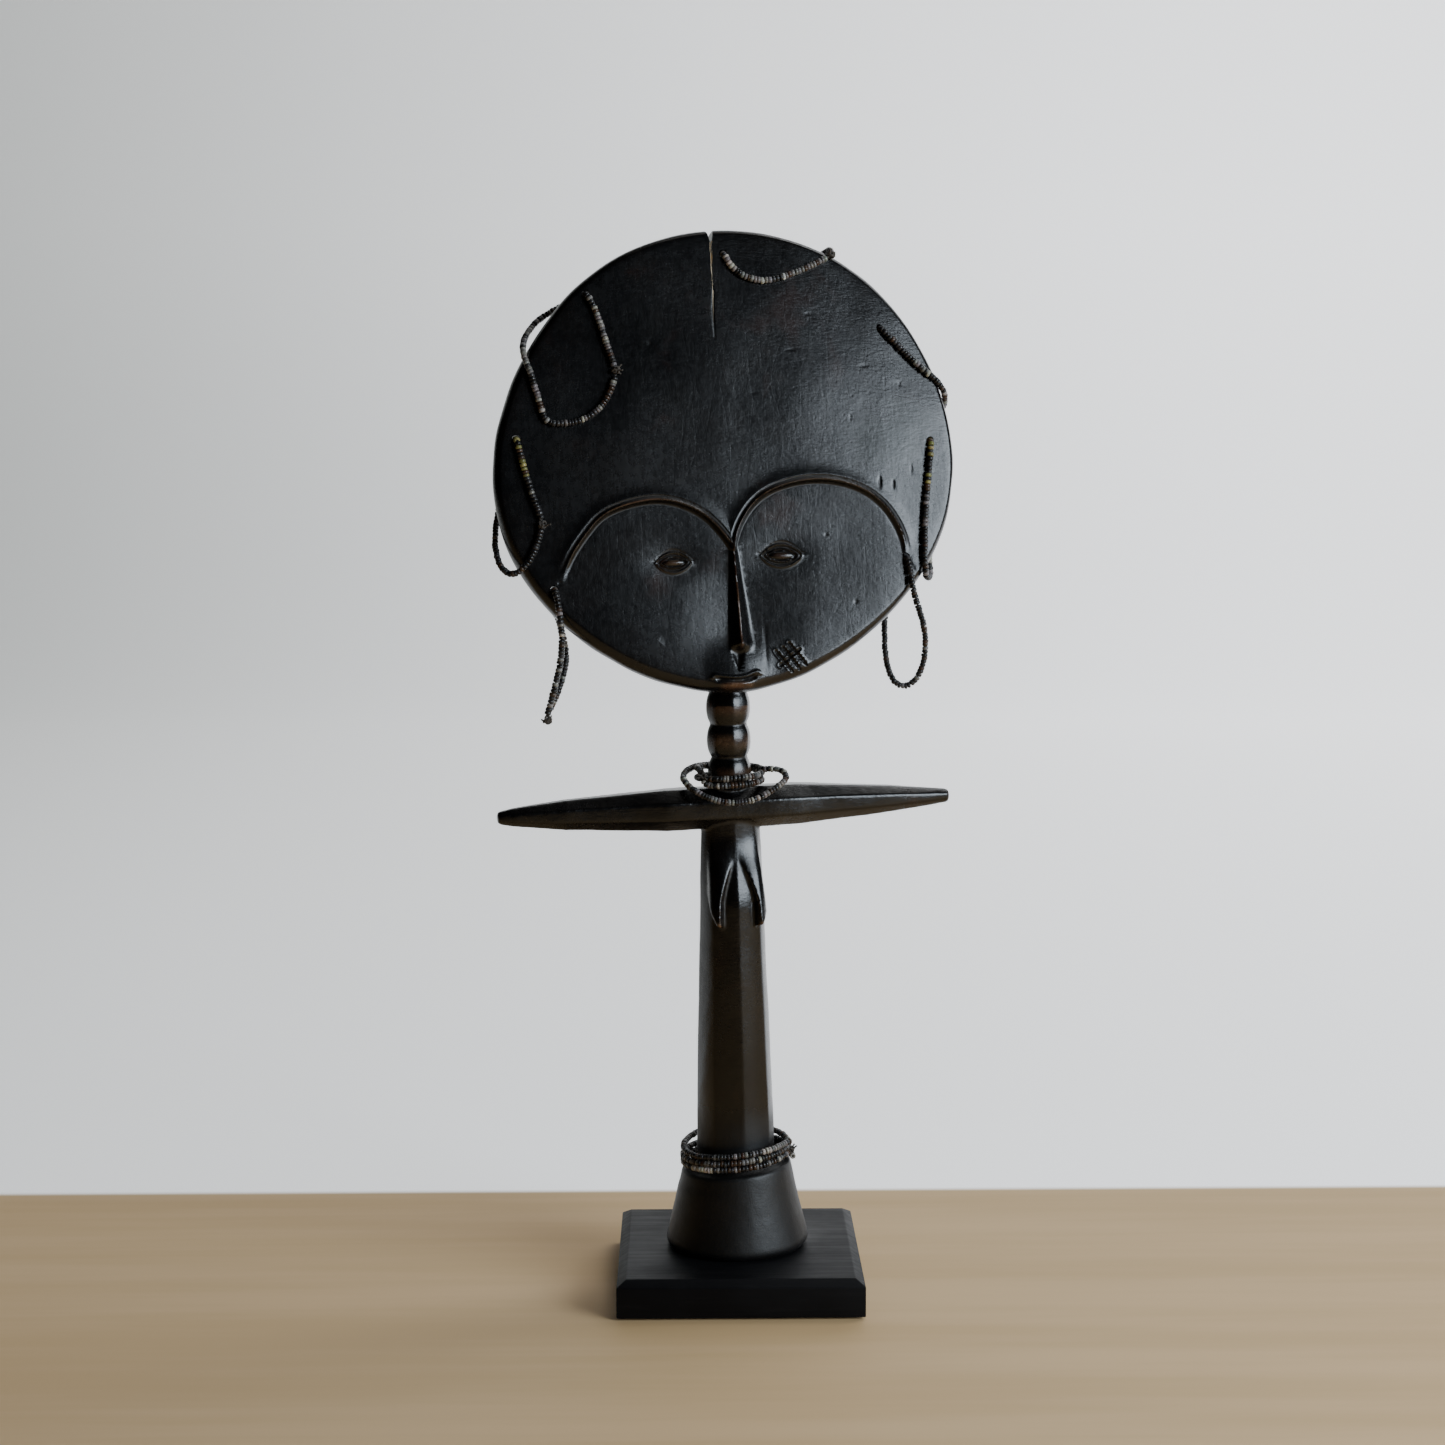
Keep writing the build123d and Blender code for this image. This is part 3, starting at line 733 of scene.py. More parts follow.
def face_shape(p):
    """Height in mm of the carving over the disc's domed front at each (u, v), and how worn it is, 0 to 1."""
    u, v = p[:, 0], p[:, 1]
    left, right = brow_lines()
    d_left, at_left = distance_to(p, left)
    d_right, at_right = distance_to(p, right)
    outline = [tuple(q) for q in left] + [tuple(q) for q in right[1:]] + BELOW_FACE
    in_face = inside(p, outline)
    distance = np.minimum(d_left, d_right)
    side = np.where(in_face, -distance, distance)
    fade = np.where(
        d_left < d_right, step(at_left, 0.0, 0.16), 1 - step(at_right, 0.9, 1.0)
    )

    # brow: a soft rise on the forehead, a thin crest between two fine grooves, a steep drop into the face
    into_face = step(-side, 0.25, 1.5)
    hollow = step(v, -70, -22) * (1 - step(np.abs(u), 20, 70))
    rise = 0.5 * bell(np.maximum(side, 0), 3.0) * (1 - into_face)
    crest = 0.55 * bell(side - 0.05, 0.38)
    groove = -0.30 * bell(side - 1.15, 0.32) - 0.22 * bell(side + 1.0, 0.35)
    height = fade * (rise + crest + groove) - 1.15 * into_face * hollow
    worn = fade * bell(side - 0.05, 0.27) * (0.5 + 0.35 * bell(u + 29, 9))

    # cheeks: hollowed beside the nose, full again towards the rim
    beside = bell(u - 0.5, 15.0) * step(-v, 24, 42) * (1 - step(-v, 56, 70))
    height -= 1.0 * beside * into_face

    # nose: a thin crest that grows to its tip, steep on the left and sweeping gently out on the right
    share = np.clip((NOSE_TOP[1] - v) / (NOSE_TOP[1] - NOSE_TIP[1]), 0, 1)
    middle = NOSE_TOP[0] + (NOSE_TIP[0] - NOSE_TOP[0]) * share + 0.25 * np.sin(share * 3.0)
    across = u - middle
    tall = 1.2 + 2.5 * share**1.1
    left_width = 1.4 + 2.6 * share
    right_width = 1.6 + 3.4 * share
    flank = np.clip(np.where(across < 0, -across / left_width, across / right_width), 0, 1)
    power = np.where(across < 0, 1.25, 1.45)
    blade = (1 - flank) ** power - 0.04 * bell(across, 0.4)
    end = 1 - step(-v, 59.6, 63.4)
    begin = step(-v, 25.2, 29.0)
    height += tall * blade * end * begin
    worn = np.maximum(worn, bell(across, 0.42) * begin * end * (0.45 + 0.35 * share))
    ball = np.hypot(across, (v - NOSE_TIP[1]) * 0.9)
    height += 0.25 * bell(ball, 1.3)
    worn = np.maximum(worn, 0.55 * bell(ball, 1.15))

    # muzzle and philtrum
    plate = step(-v, 55.0, 67.0) * (1 - step(np.abs(u - 0.6), 1.5, 13.0))
    height += 0.75 * plate
    height -= 0.08 * bell(u - 9.4, 0.6) * step(-v, 52, 58) * (1 - step(-v, 64, 69))
    half = 2.9 * (1 - np.clip((-v - 61.0) / 8.0, 0, 1))
    notch = np.clip(1 - np.abs(u - 0.1) / np.maximum(half, 0.05), 0, 1) * step(-v, 60.6, 62.4) * (half > 0.06)
    height -= 1.0 * notch**0.9

    # mouth: upper lip edge, slit, lower lip
    slit, at_slit = distance_to(p, curve_through(MOUTH, 30))
    below = (v < np.interp(u, [q[0] for q in MOUTH], [q[1] for q in MOUTH])).astype(float)
    height -= 0.95 * bell(slit, 0.55) * step(at_slit, 0.0, 0.12) * (1 - step(at_slit, 0.9, 1.0))
    height += 0.35 * bell(slit - 1.1, 0.6) * (1 - below)
    lip = bell(np.hypot((u + 0.6) / 6.2, (v + 73.4) / 1.5), 1.0, 2.6)
    height += 1.0 * lip
    worn = np.maximum(worn, 0.85 * lip)

    # eyes: an outer lid line, an inner one and the eyeball's small worn bump
    for (eye_u, eye_v), long, tall_eye, turn in EYES:
        x = (u - eye_u) * math.cos(turn) + (v - eye_v) * math.sin(turn)
        y = -(u - eye_u) * math.sin(turn) + (v - eye_v) * math.cos(turn)
        socket = np.hypot(x / (long + 3.2), y / (tall_eye + 2.8))
        height -= 0.35 * bell(socket, 1.0, 3)
        outer = np.abs(y) - tall_eye * lens(x / long)
        inner = np.abs(y) - 0.56 * tall_eye * lens(x / (0.76 * long))
        near = bell(x, 1.15 * long, 8)
        height += near * (0.42 * bell(outer, 0.45) - 0.30 * bell(outer + 0.85, 0.36) + 0.42 * bell(inner, 0.34))
        height -= 0.5 * near * (1 - step(inner, -0.5, 0.0))
        fold = np.abs(y - (tall_eye * np.clip(1 - (x / long) ** 2, 0, 1) + 0.75)) + 5.0 * (y < 0)
        height -= 0.24 * near * bell(fold, 0.3)
        ball = np.hypot(x / (0.62 * long), y / (0.40 * tall_eye))
        height += 1.0 * np.sqrt(np.clip(1 - ball**2, 0, 1))
        worn = np.maximum(worn, 0.42 * (1 - step(ball, 0.4, 1.1)))
        worn = np.maximum(worn, 0.3 * near * bell(inner, 0.4))

    # the mark on the cheek: three strokes and one across them
    for start, end_point in CHEEK_MARK:
        stroke, _ = distance_to(p, [start, end_point])
        deep = 0.75 if start != CHEEK_MARK[3][0] else 0.4
        height -= deep * np.clip(1 - stroke / 0.55, 0, 1)
        height += 0.15 * bell(stroke - 0.8, 0.3)

    # nicks on the forehead and cheek
    for nick_u, nick_v, long_u, long_v, deep in NICKS:
        height -= deep * bell(np.hypot((u - nick_u) / long_u, (v - nick_v) / long_v), 1.0)
    hairline, _ = distance_to(p, [(-3.3, 54.6), (-3.9, 48.0), (-3.6, 39.0)])
    height -= 0.12 * bell(hairline, 0.28)
    return height, worn


def disc_outline(angle):
    radius = np.full_like(angle, DISC_RADIUS)
    for count, size, phase in DISC_WAVES:
        radius = radius + size * np.cos(count * (angle - math.radians(phase)))
    return radius


def head_mesh(coarse):
    """The disc as one closed skin: rings from the middle of the face over the rim to the middle of the back."""
    around = 520 if coarse else 1040
    front_rings = 110 if coarse else 225
    back_rings = 36 if coarse else 80
    turn = full_turn(around)
    outline = disc_outline(turn)
    down = np.clip(-np.sin(turn), 0, 1) ** 2
    front_edge = 2.2 + 1.6 * down
    back_edge = 3.0
    rings = []
    for t in np.linspace(1 / front_rings, 1, front_rings):
        radius = t * (outline - front_edge)
        rings.append((radius, RIM_HALF + FRONT_RISE * (1 - (radius / outline) ** 2), 1.0))
    for angle in np.radians(np.linspace(7, 90, 14)):
        radius = outline - front_edge * (1 - math.sin(angle))
        dome = RIM_HALF + FRONT_RISE * (1 - (radius / outline) ** 2)
        rings.append((radius, dome * math.cos(angle) ** 0.9, max(0.0, math.cos(angle)) ** 0.6))
    for angle in np.radians(np.linspace(90, 0, 14))[1:]:
        radius = outline - back_edge * (1 - math.sin(angle))
        dome = RIM_HALF + BACK_RISE * (1 - (radius / outline) ** 2)
        rings.append((radius, -dome * math.cos(angle) ** 0.9, 0.0))
    for t in np.linspace(1, 1 / back_rings, back_rings)[1:]:
        radius = t * (outline - back_edge)
        rings.append((radius, -RIM_HALF - BACK_RISE * (1 - (radius / outline) ** 2), 0.0))
    cos, sin = np.cos(turn), np.sin(turn)
    points = np.vstack([np.column_stack([radius * cos, radius * sin, w]) for radius, w, _ in rings])
    weights = np.repeat([weight for _, _, weight in rings], around)
    middle_front = np.array([[0.0, 0.0, RIM_HALF + FRONT_RISE]])
    middle_back = np.array([[0.0, 0.0, -RIM_HALF - BACK_RISE]])
    points = np.vstack([points, middle_front, middle_back])
    weights = np.append(weights, [1.0, 0.0])

    front = weights > 0
    height, _ = face_shape(points[front][:, :2])
    points[front, 2] += height * weights[front]
    facing = np.clip(points[:, 2] / RIM_HALF, -1, 1)
    hand_work = 0.075 * ripple(points, 36, 3) + 0.014 * ripple(points, 11, 4)
    back_work = 0.11 * ripple(points, 24, 5) + 0.03 * ripple(points, 8, 6)
    points[:, 2] += np.where(facing > 0, hand_work, back_work) * np.abs(facing)
    out = points[:, :2] / np.maximum(np.linalg.norm(points[:, :2], axis=1), 1e-6)[:, None]
    rim_work = 0.14 * ripple(points, 17, 7) * (1 - np.abs(facing)) ** 0.5
    points[:, :2] += out * rim_work[:, None]

    count = len(rings)
    faces = []
    last = len(points) - 1
    for j in range(around):
        k = (j + 1) % around
        faces.append((j, k, last - 1))
        faces.append((last, (count - 1) * around + k, (count - 1) * around + j))
    for i in range(count - 1):
        a, b = i * around, (i + 1) * around
        faces.extend((a + j, b + j, b + (j + 1) % around, a + (j + 1) % around) for j in range(around))
    return bare_object("head_skin", placed(HEAD, points), faces)


# ---------------------------------------------------------------- body, arms and spine, in FIGURE
SHOULDER_HEIGHT = 27.5
WAIST_RADIUS = 13.1
WAIST_HEIGHT = 29.6
CHEST_RADIUS = 9.6
CHEST_HEIGHT = 148.0
NECK_FOOT = 153.3
NECK_PITCH = 10.9
NECK_RINGS = 3
NECK_RADIUS = 7.3
GROOVE_RADIUS = 5.5
SPINE_TOP = 249.0
SPINE_TOP_RADIUS = 2.2
CHEST_TURN = math.radians(1)
BREAST_ANGLE = 32.0
ARM_HEIGHT = 147.6
ARM_STATIONS = [
    (-77.0, 1.6), (-76.2, 2.15), (-72.0, 3.0), (-55.0, 4.9), (-22.0, 6.9), (22.0, 6.9),
    (55.0, 4.5), (74.2, 2.3), (75.0, 1.8),
]
BORE_RADIUS = 3.05
BORE_TOP = 39.0
COLLAR_ROOM_RADIUS = 6.4
COLLAR_ROOM_TOP = 14.8
SCREW_ROOM_RADIUS = 5.6
SCREW_ROOM_TOP = 5.0
ABOVE_PLINTH = 20.0
BORE_AROUND = 64
SPINE_RINGS = 60
SPINE_AROUND = 72


def octagon(angle, offset):
    """The radius of a regular eight-sided outline of mean radius 1."""
    local_angle = (angle - offset) % (math.pi / 4) - math.pi / 8
    return 0.955 / np.cos(local_angle)


def body_radius(height, angle):
    """The radius of foot, torso and neck at a height and an angle from the figure's front (angle 0)."""
    foot = np.interp(
        height,
        [0.0, 0.5, 1.2, 2.2, 3.4, 14.0, 26.2, 27.0, 27.4, SHOULDER_HEIGHT],
        [21.6, 22.5, 23.2, 23.6, 23.55, 20.95, 18.35, 18.1, 17.6, 16.6],
    )
    torso = np.interp(
        height, [SHOULDER_HEIGHT, WAIST_HEIGHT, 70.0, 110.0, CHEST_HEIGHT, 151.5, NECK_FOOT],
        [16.6, WAIST_RADIUS, 12.1, 10.8, CHEST_RADIUS, 8.6, GROOVE_RADIUS],
    )
    ring = (height - NECK_FOOT) / NECK_PITCH
    bulge = np.abs(np.sin(math.pi * np.clip(ring, 0, NECK_RINGS))) ** 0.5
    neck = GROOVE_RADIUS + (NECK_RADIUS - GROOVE_RADIUS) * bulge
    radius = np.where(height < SHOULDER_HEIGHT, foot, np.where(height < NECK_FOOT, torso, neck))
    facet = np.where(height < SHOULDER_HEIGHT, 0.05, 0.40)
    blend = step(height, WAIST_HEIGHT - 1, WAIST_HEIGHT + 14)
    facet = np.where((height >= SHOULDER_HEIGHT) & (height < NECK_FOOT), 0.05 + 0.45 * blend, facet)
    radius = radius * octagon(angle, 0.0) ** facet

    # two long breasts from under the arms to blunt points, with an arched hollow between them
    side = np.abs((angle - CHEST_TURN + math.pi) % (2 * math.pi) - math.pi)
    away = np.degrees(side) - BREAST_ANGLE
    outer_edge = 109.3 + 9.5 * np.clip(away / 27.0, 0, 1.3) ** 1.15
    inner_edge = 109.3 + 24.0 * np.clip(-away / BREAST_ANGLE, 0, 1) ** 0.5
    lower = np.where(away > 0, outer_edge, np.where(away < -3.5, inner_edge, 109.3))
    over = step(height, lower - 0.35, lower + 0.55)
    fall = 1 - step(height, 125.0, 139.5)
    stand = 1.0 + 2.9 * np.clip((139.0 - height) / 30.0, 0, 1) ** 0.9
    width = np.where(away > 0, 31.0, 30.0)
    crest = np.clip(1 - (np.abs(away) / width) ** 1.45, 0, 1)
    hollow = 1 - 0.3 * bell(np.degrees(side), 8.0)
    radius = radius + stand * crest * over * fall * hollow * (height > 100) * (height < 152)
    return radius


def ring_skin(name, points, around, count):
    """A closed skin from count rings of around points each, with a fan on each end."""
    faces = []
    for i in range(count - 1):
        a, b = i * around, (i + 1) * around
        faces.extend((a + j, a + (j + 1) % around, b + (j + 1) % around, b + j) for j in range(around))
    points = np.asarray(points, dtype=float)
    bottom, top = points[:around].mean(axis=0), points[-around:].mean(axis=0)
    points = np.vstack([points, bottom, top])
    low, high = len(points) - 2, len(points) - 1
    start = (count - 1) * around
    for j in range(around):
        k = (j + 1) % around
        faces.append((k, j, low))
        faces.append((start + j, start + k, high))
    return bare_object(name, points, faces)


def body_skins():
    """Closed skins of torso with foot and neck, of the arm bar, and of the neck's taper up the disc's back."""
    around = 360
    neck_top = NECK_FOOT + NECK_RINGS * NECK_PITCH
    heights = np.concatenate([
        np.linspace(0, 3.4, 10), np.arange(4.2, 25.5, 0.8), np.linspace(25.8, 30.2, 18),
        np.arange(31.0, 105.0, 0.8), np.arange(105.3, 155.0, 0.35), np.arange(155.2, neck_top + 0.01, 0.3),
    ])
    angle = full_turn(around)
    grid_height = np.repeat(heights, around)
    grid_angle = np.tile(angle, len(heights))
    radius = body_radius(grid_height, grid_angle)
    # the shoulder of the foot is cut level with the strand that lies on it, which is tipped to one side
    near_shoulder = bell(grid_height - SHOULDER_HEIGHT, 6.0, 4)
    # the chest is flatter from front to back, so that the arm bar stands out of it
    flatter = 1 - 0.32 * step(grid_height, 114, 139.5) * (1 - step(grid_height, 151.5, 155.5))
    x = radius * np.sin(grid_angle)
    y = -radius * np.cos(grid_angle) * flatter
    z = grid_height + near_shoulder * math.tan(-HIP_COIL_TILT) * x
    torso = ring_skin("torso_skin", placed(FIGURE, np.column_stack([x, y, z])), around, len(heights))

    along = np.concatenate([[-77.0, -76.2], np.arange(-75.5, 74.0, 1.2), [74.2, 75.0]])
    half = np.interp(along, [s[0] for s in ARM_STATIONS], [s[1] for s in ARM_STATIONS])
    turns = 160
    turn = full_turn(turns)
    grid_turn = np.tile(turn, len(along))
    reach = np.repeat(half, turns) * 1.02 * octagon(grid_turn, math.pi / 8) ** 0.95
    arm_points = np.column_stack([
        np.repeat(along, turns), reach * np.cos(grid_turn) * (1 + 0.17 * bell(np.repeat(along, turns), 26, 4)),
        ARM_HEIGHT + reach * np.sin(grid_turn),
    ])
    arms = ring_skin("arm_skin", placed(FIGURE, arm_points), turns, len(along))

    share = np.linspace(0, 1, SPINE_RINGS)
    foot = neck_top - 2.0
    cone_radius = GROOVE_RADIUS + 0.9 + (SPINE_TOP_RADIUS - GROOVE_RADIUS - 0.9) * share
    cone_radius[-4:] *= [0.97, 0.88, 0.7, 0.4]
    spine_radius = np.repeat(cone_radius, SPINE_AROUND)
    spine_turn = np.tile(full_turn(SPINE_AROUND), SPINE_RINGS)
    spine_points = np.column_stack([
        spine_radius * np.cos(spine_turn), spine_radius * np.sin(spine_turn),
        np.repeat(foot + (SPINE_TOP - foot) * share, SPINE_AROUND),
    ])
    spine = ring_skin("spine_skin", placed(FIGURE, spine_points), SPINE_AROUND, SPINE_RINGS)
    return torso, arms, spine


def read_vectors(collection, name):
    values = np.empty(len(collection) * 3, dtype=np.float32)
    collection.foreach_get(name, values)
    return values.reshape(-1, 3).astype(float)


def read_points(mesh):
    return read_vectors(mesh.vertices, "co")


def read_normals(mesh):
    return read_vectors(mesh.vertex_normals, "vector")


def write_points(mesh, points):
    mesh.vertices.foreach_set("co", points.astype(np.float32).ravel())
    mesh.update()


def carved_body(coarse):
    """Torso, arms and spine as one skin, softened as a knife and years of handling leave it."""
    torso, arms, spine = body_skins()
    bpy.ops.object.select_all(action="DESELECT")
    for each in (torso, arms, spine):
        each.select_set(True)
    bpy.context.view_layer.objects.active = torso
    bpy.ops.object.join()
    remesh = torso.modifiers.new("one_skin", "REMESH")
    remesh.mode = "VOXEL"
    remesh.voxel_size = (0.8 if coarse else 0.45) * MM
    soften = torso.modifiers.new("soften", "SMOOTH")
    soften.factor = 0.5
    soften.iterations = 2 if coarse else 4
    apply_modifiers(torso)
    mesh = torso.data
    points = read_points(mesh)
    in_mm = points / MM
    work = 0.07 * ripple(in_mm * [1.0, 1.0, 0.6], 17, 11) + 0.016 * ripple(in_mm * [1.0, 1.0, 0.5], 4.5, 12)
    write_points(mesh, points + read_normals(mesh) * (work * MM)[:, None])
    return torso


def cut_bore(piece, radius, low, high):
    """Cuts an upright round hole about the Z axis, between two heights in the row frame."""
    turn = full_turn(BORE_AROUND)
    ring = np.column_stack([radius * np.cos(turn), radius * np.sin(turn)])
    points = np.vstack([np.column_stack([ring, np.full(BORE_AROUND, z)]) for z in (low, high)])
    boolean(piece, ring_skin("bore", points * MM, BORE_AROUND, 2), "DIFFERENCE")


def box_object(name, low, high):
    points = [(x, y, z) for x in (low[0], high[0]) for y in (low[1], high[1]) for z in (low[2], high[2])]
    faces = [(0, 1, 3, 2), (4, 6, 7, 5), (0, 4, 5, 1), (2, 3, 7, 6), (0, 2, 6, 4), (1, 5, 7, 3)]
    return bare_object(name, np.array(points) * MM, faces)


# the drill that cuts a hole, as (depth, radius) rings of DRILL_AROUND points: it flares at both mouths
DRILL = [(-14.0, 2.6), (-5.6, 1.5), (-4.4, HOLE_RADIUS), (5.0, HOLE_RADIUS), (6.2, 1.5), (14.0, 2.6)]
DRILL_AROUND = 32


def cut_figure(wood):
    """Cuts the seven holes, the split at the top, the flat under the foot and the room for the rod."""
    turn = full_turn(DRILL_AROUND)
    for u, v in HOLES.values():
        rings = []
        for w, radius in DRILL:
            ragged = radius * (1 + 0.05 * np.sin(3 * turn + u))
            depth = np.full(DRILL_AROUND, w)
            rings.append(np.column_stack([u + ragged * np.cos(turn), v + ragged * np.sin(turn), depth]))
        drill = ring_skin("drill", placed(HEAD, np.vstack(rings)), DRILL_AROUND, len(DRILL))
        boolean(wood, drill, "DIFFERENCE")
    count = len(CRACK)
    blade = [(u, v, w) for w in (-14.0, 14.0) for u, v in CRACK]
    sides = [(i, (i + 1) % count, count + (i + 1) % count, count + i) for i in range(count)]
    ends = [tuple(reversed(range(count))), tuple(range(count, 2 * count))]
    boolean(wood, bare_object("crack_blade", placed(HEAD, blade), sides + ends), "DIFFERENCE")
    boolean(wood, box_object("under_foot", (-60, -60, -20), (60, 60, PLINTH_TOP)), "DIFFERENCE")
    for radius, top in ((BORE_RADIUS, BORE_TOP), (COLLAR_ROOM_RADIUS, COLLAR_ROOM_TOP)):
        cut_bore(wood, radius, PLINTH_TOP - 3, top)


def edge_pointiness(mesh, rounds=2):
    """How far each vertex stands out of its neighbours, over their distance: above 0 on ridges."""
    points, normals = read_points(mesh), read_normals(mesh)
    edges = np.empty(len(mesh.edges) * 2, dtype=np.int32)
    mesh.edges.foreach_get("vertices", edges)
    a, b = edges.reshape(-1, 2).T
    count = np.bincount(np.concatenate([a, b]), minlength=len(points)).astype(float)
    span = points[b] - points[a]
    reach = np.linalg.norm(span, axis=1) + 1e-9
    out = np.zeros(len(points))
    np.add.at(out, a, -(span * normals[a]).sum(axis=1) / reach)
    np.add.at(out, b, (span * normals[b]).sum(axis=1) / reach)
    out /= np.maximum(count, 1)
    for _ in range(rounds):
        total = np.zeros(len(points))
        np.add.at(total, a, out[b])
        np.add.at(total, b, out[a])
        out = 0.5 * out + 0.5 * total / np.maximum(count, 1)
    return out


def paint_wood(mesh):
    """Stores how worn and how dusty the wood is at each vertex, for the wood material."""
    points = read_points(mesh)
    head = local(HEAD, points)
    body = local(FIGURE, points)
    ridge = edge_pointiness(mesh)
    on_disc = (np.hypot(head[:, 0], head[:, 1]) < DISC_RADIUS + 4) & (np.abs(head[:, 2]) < 11)
    face = on_disc & (head[:, 2] > 1.0)
    wear = np.zeros(len(points))
    _, worn = face_shape(head[face][:, :2])
    wear[face] = worn
    jaw = on_disc & ~(head[:, 2] < -1)
    rim_distance = disc_outline(np.arctan2(head[:, 1], head[:, 0])) - np.hypot(head[:, 0], head[:, 1])
    low_rim = step(-head[:, 1], 45, 62) * bell(rim_distance - 2.0, 4.5, 3) * jaw
    wear = np.maximum(wear, 0.26 * low_rim * step(head[:, 0], -14, 8))
    patchy = (0.5 + 0.5 * ripple(head, 22, 21)).clip(0, 1)
    wear = np.maximum(wear, 0.22 * bell(rim_distance, 1.2) * on_disc * patchy)
    off_disc = ~on_disc
    ring = (body[:, 2] - NECK_FOOT) / NECK_PITCH
    bulge = np.abs(np.sin(math.pi * ring)) * (body[:, 2] > NECK_FOOT - 1) * (body[:, 2] < 186.5)
    wear = np.where(off_disc, np.maximum(wear, 0.50 * bulge**2), wear)
    edges = step(ridge, 0.035, 0.16)
    wear = np.where(off_disc, np.maximum(wear, 0.6 * edges), np.maximum(wear, 0.2 * edges))
    arm_band = step(body[:, 2], 136, 142) * (1 - step(body[:, 2], 143, ARM_HEIGHT))
    wear = np.maximum(wear, 0.22 * (off_disc * arm_band * (np.abs(body[:, 0]) > 11)))
    dust = step(-ridge, 0.01, 0.09)
    for name, values in (("wear", wear), ("dust", dust)):
        attribute = mesh.attributes.new(name, "FLOAT", "POINT")
        attribute.data.foreach_set("value", np.clip(values, 0, 1).astype(np.float32))


MOST_TRIANGLES = 192000


def make_figure():
    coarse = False
    wood = head_mesh(coarse)
    boolean(wood, carved_body(coarse), "UNION")
    cut_figure(wood)
    triangles = sum(len(polygon.vertices) - 2 for polygon in wood.data.polygons)
    if triangles > MOST_TRIANGLES:
        lighten = wood.modifiers.new("lighten", "DECIMATE")
        lighten.ratio = MOST_TRIANGLES / triangles
        apply_modifiers(wood)
    wood.name = "carved_figure_wood"
    paint_wood(wood.data)
    wood.data.materials.clear()
    wood.data.materials.append(carved_wood())
    smooth_shade(wood, 48)
    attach(wood, "figure")
    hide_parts("carved_figure")


# ---------------------------------------------------------------- stand and fixing
def make_plinth():
    """The block with worn, slightly rounded edges, recessed from below and bored for the rod."""
    low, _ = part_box("plinth")
    block = bmesh.new()
    half = PLINTH_SIDE / 2
    top_half = half - CHAMFER_WIDTH
    side_top = PLINTH_TOP - CHAMFER_HEIGHT
    levels = ((half, low.z / MM), (half, side_top), (top_half, PLINTH_TOP))
    corners = ((-1, -1), (1, -1), (1, 1), (-1, 1))
    rings = [
        [block.verts.new((x * reach * MM, y * reach * MM, z * MM)) for x, y in corners] for reach, z in levels
    ]
    for lower, upper in zip(rings, rings[1:]):
        for j in range(4):
            k = (j + 1) % 4
            block.faces.new((lower[j], lower[k], upper[k], upper[j]))
    block.faces.new(reversed(rings[0]))
    block.faces.new(rings[-1])
    bmesh.ops.bevel(
        block, geom=list(block.edges), offset=PLINTH_EDGE_WEAR * MM, offset_type="OFFSET", segments=3,
        profile=0.6, affect="EDGES",
    )
    bmesh.ops.triangulate(block, faces=[f for f in block.faces if len(f.verts) > 4])
    mesh = bpy.data.meshes.new("plinth_block")
    block.to_mesh(mesh)
    block.free()
    piece = new_object("plinth_block", mesh)
    for radius, top in ((BORE_RADIUS, ABOVE_PLINTH), (SCREW_ROOM_RADIUS, SCREW_ROOM_TOP)):
        cut_bore(piece, radius, 0.0, top)
    piece.data.materials.clear()
    piece.data.materials.append(ebonised_wood())
    smooth_shade(piece, 32)
    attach(piece, "stand")
    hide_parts("plinth")


def dress_cad_nodes():
    """The hidden steel and felt keep their CAD shapes and get a worked material."""
    steel, felt = rod_steel(), black_felt()
    for node, material in (
        ("mounting_rod", steel), ("rod_washer", steel), ("rod_screw", steel), ("felt_pad", felt),
    ):
        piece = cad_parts[node]
        piece.data.materials.clear()
        piece.data.materials.append(material)


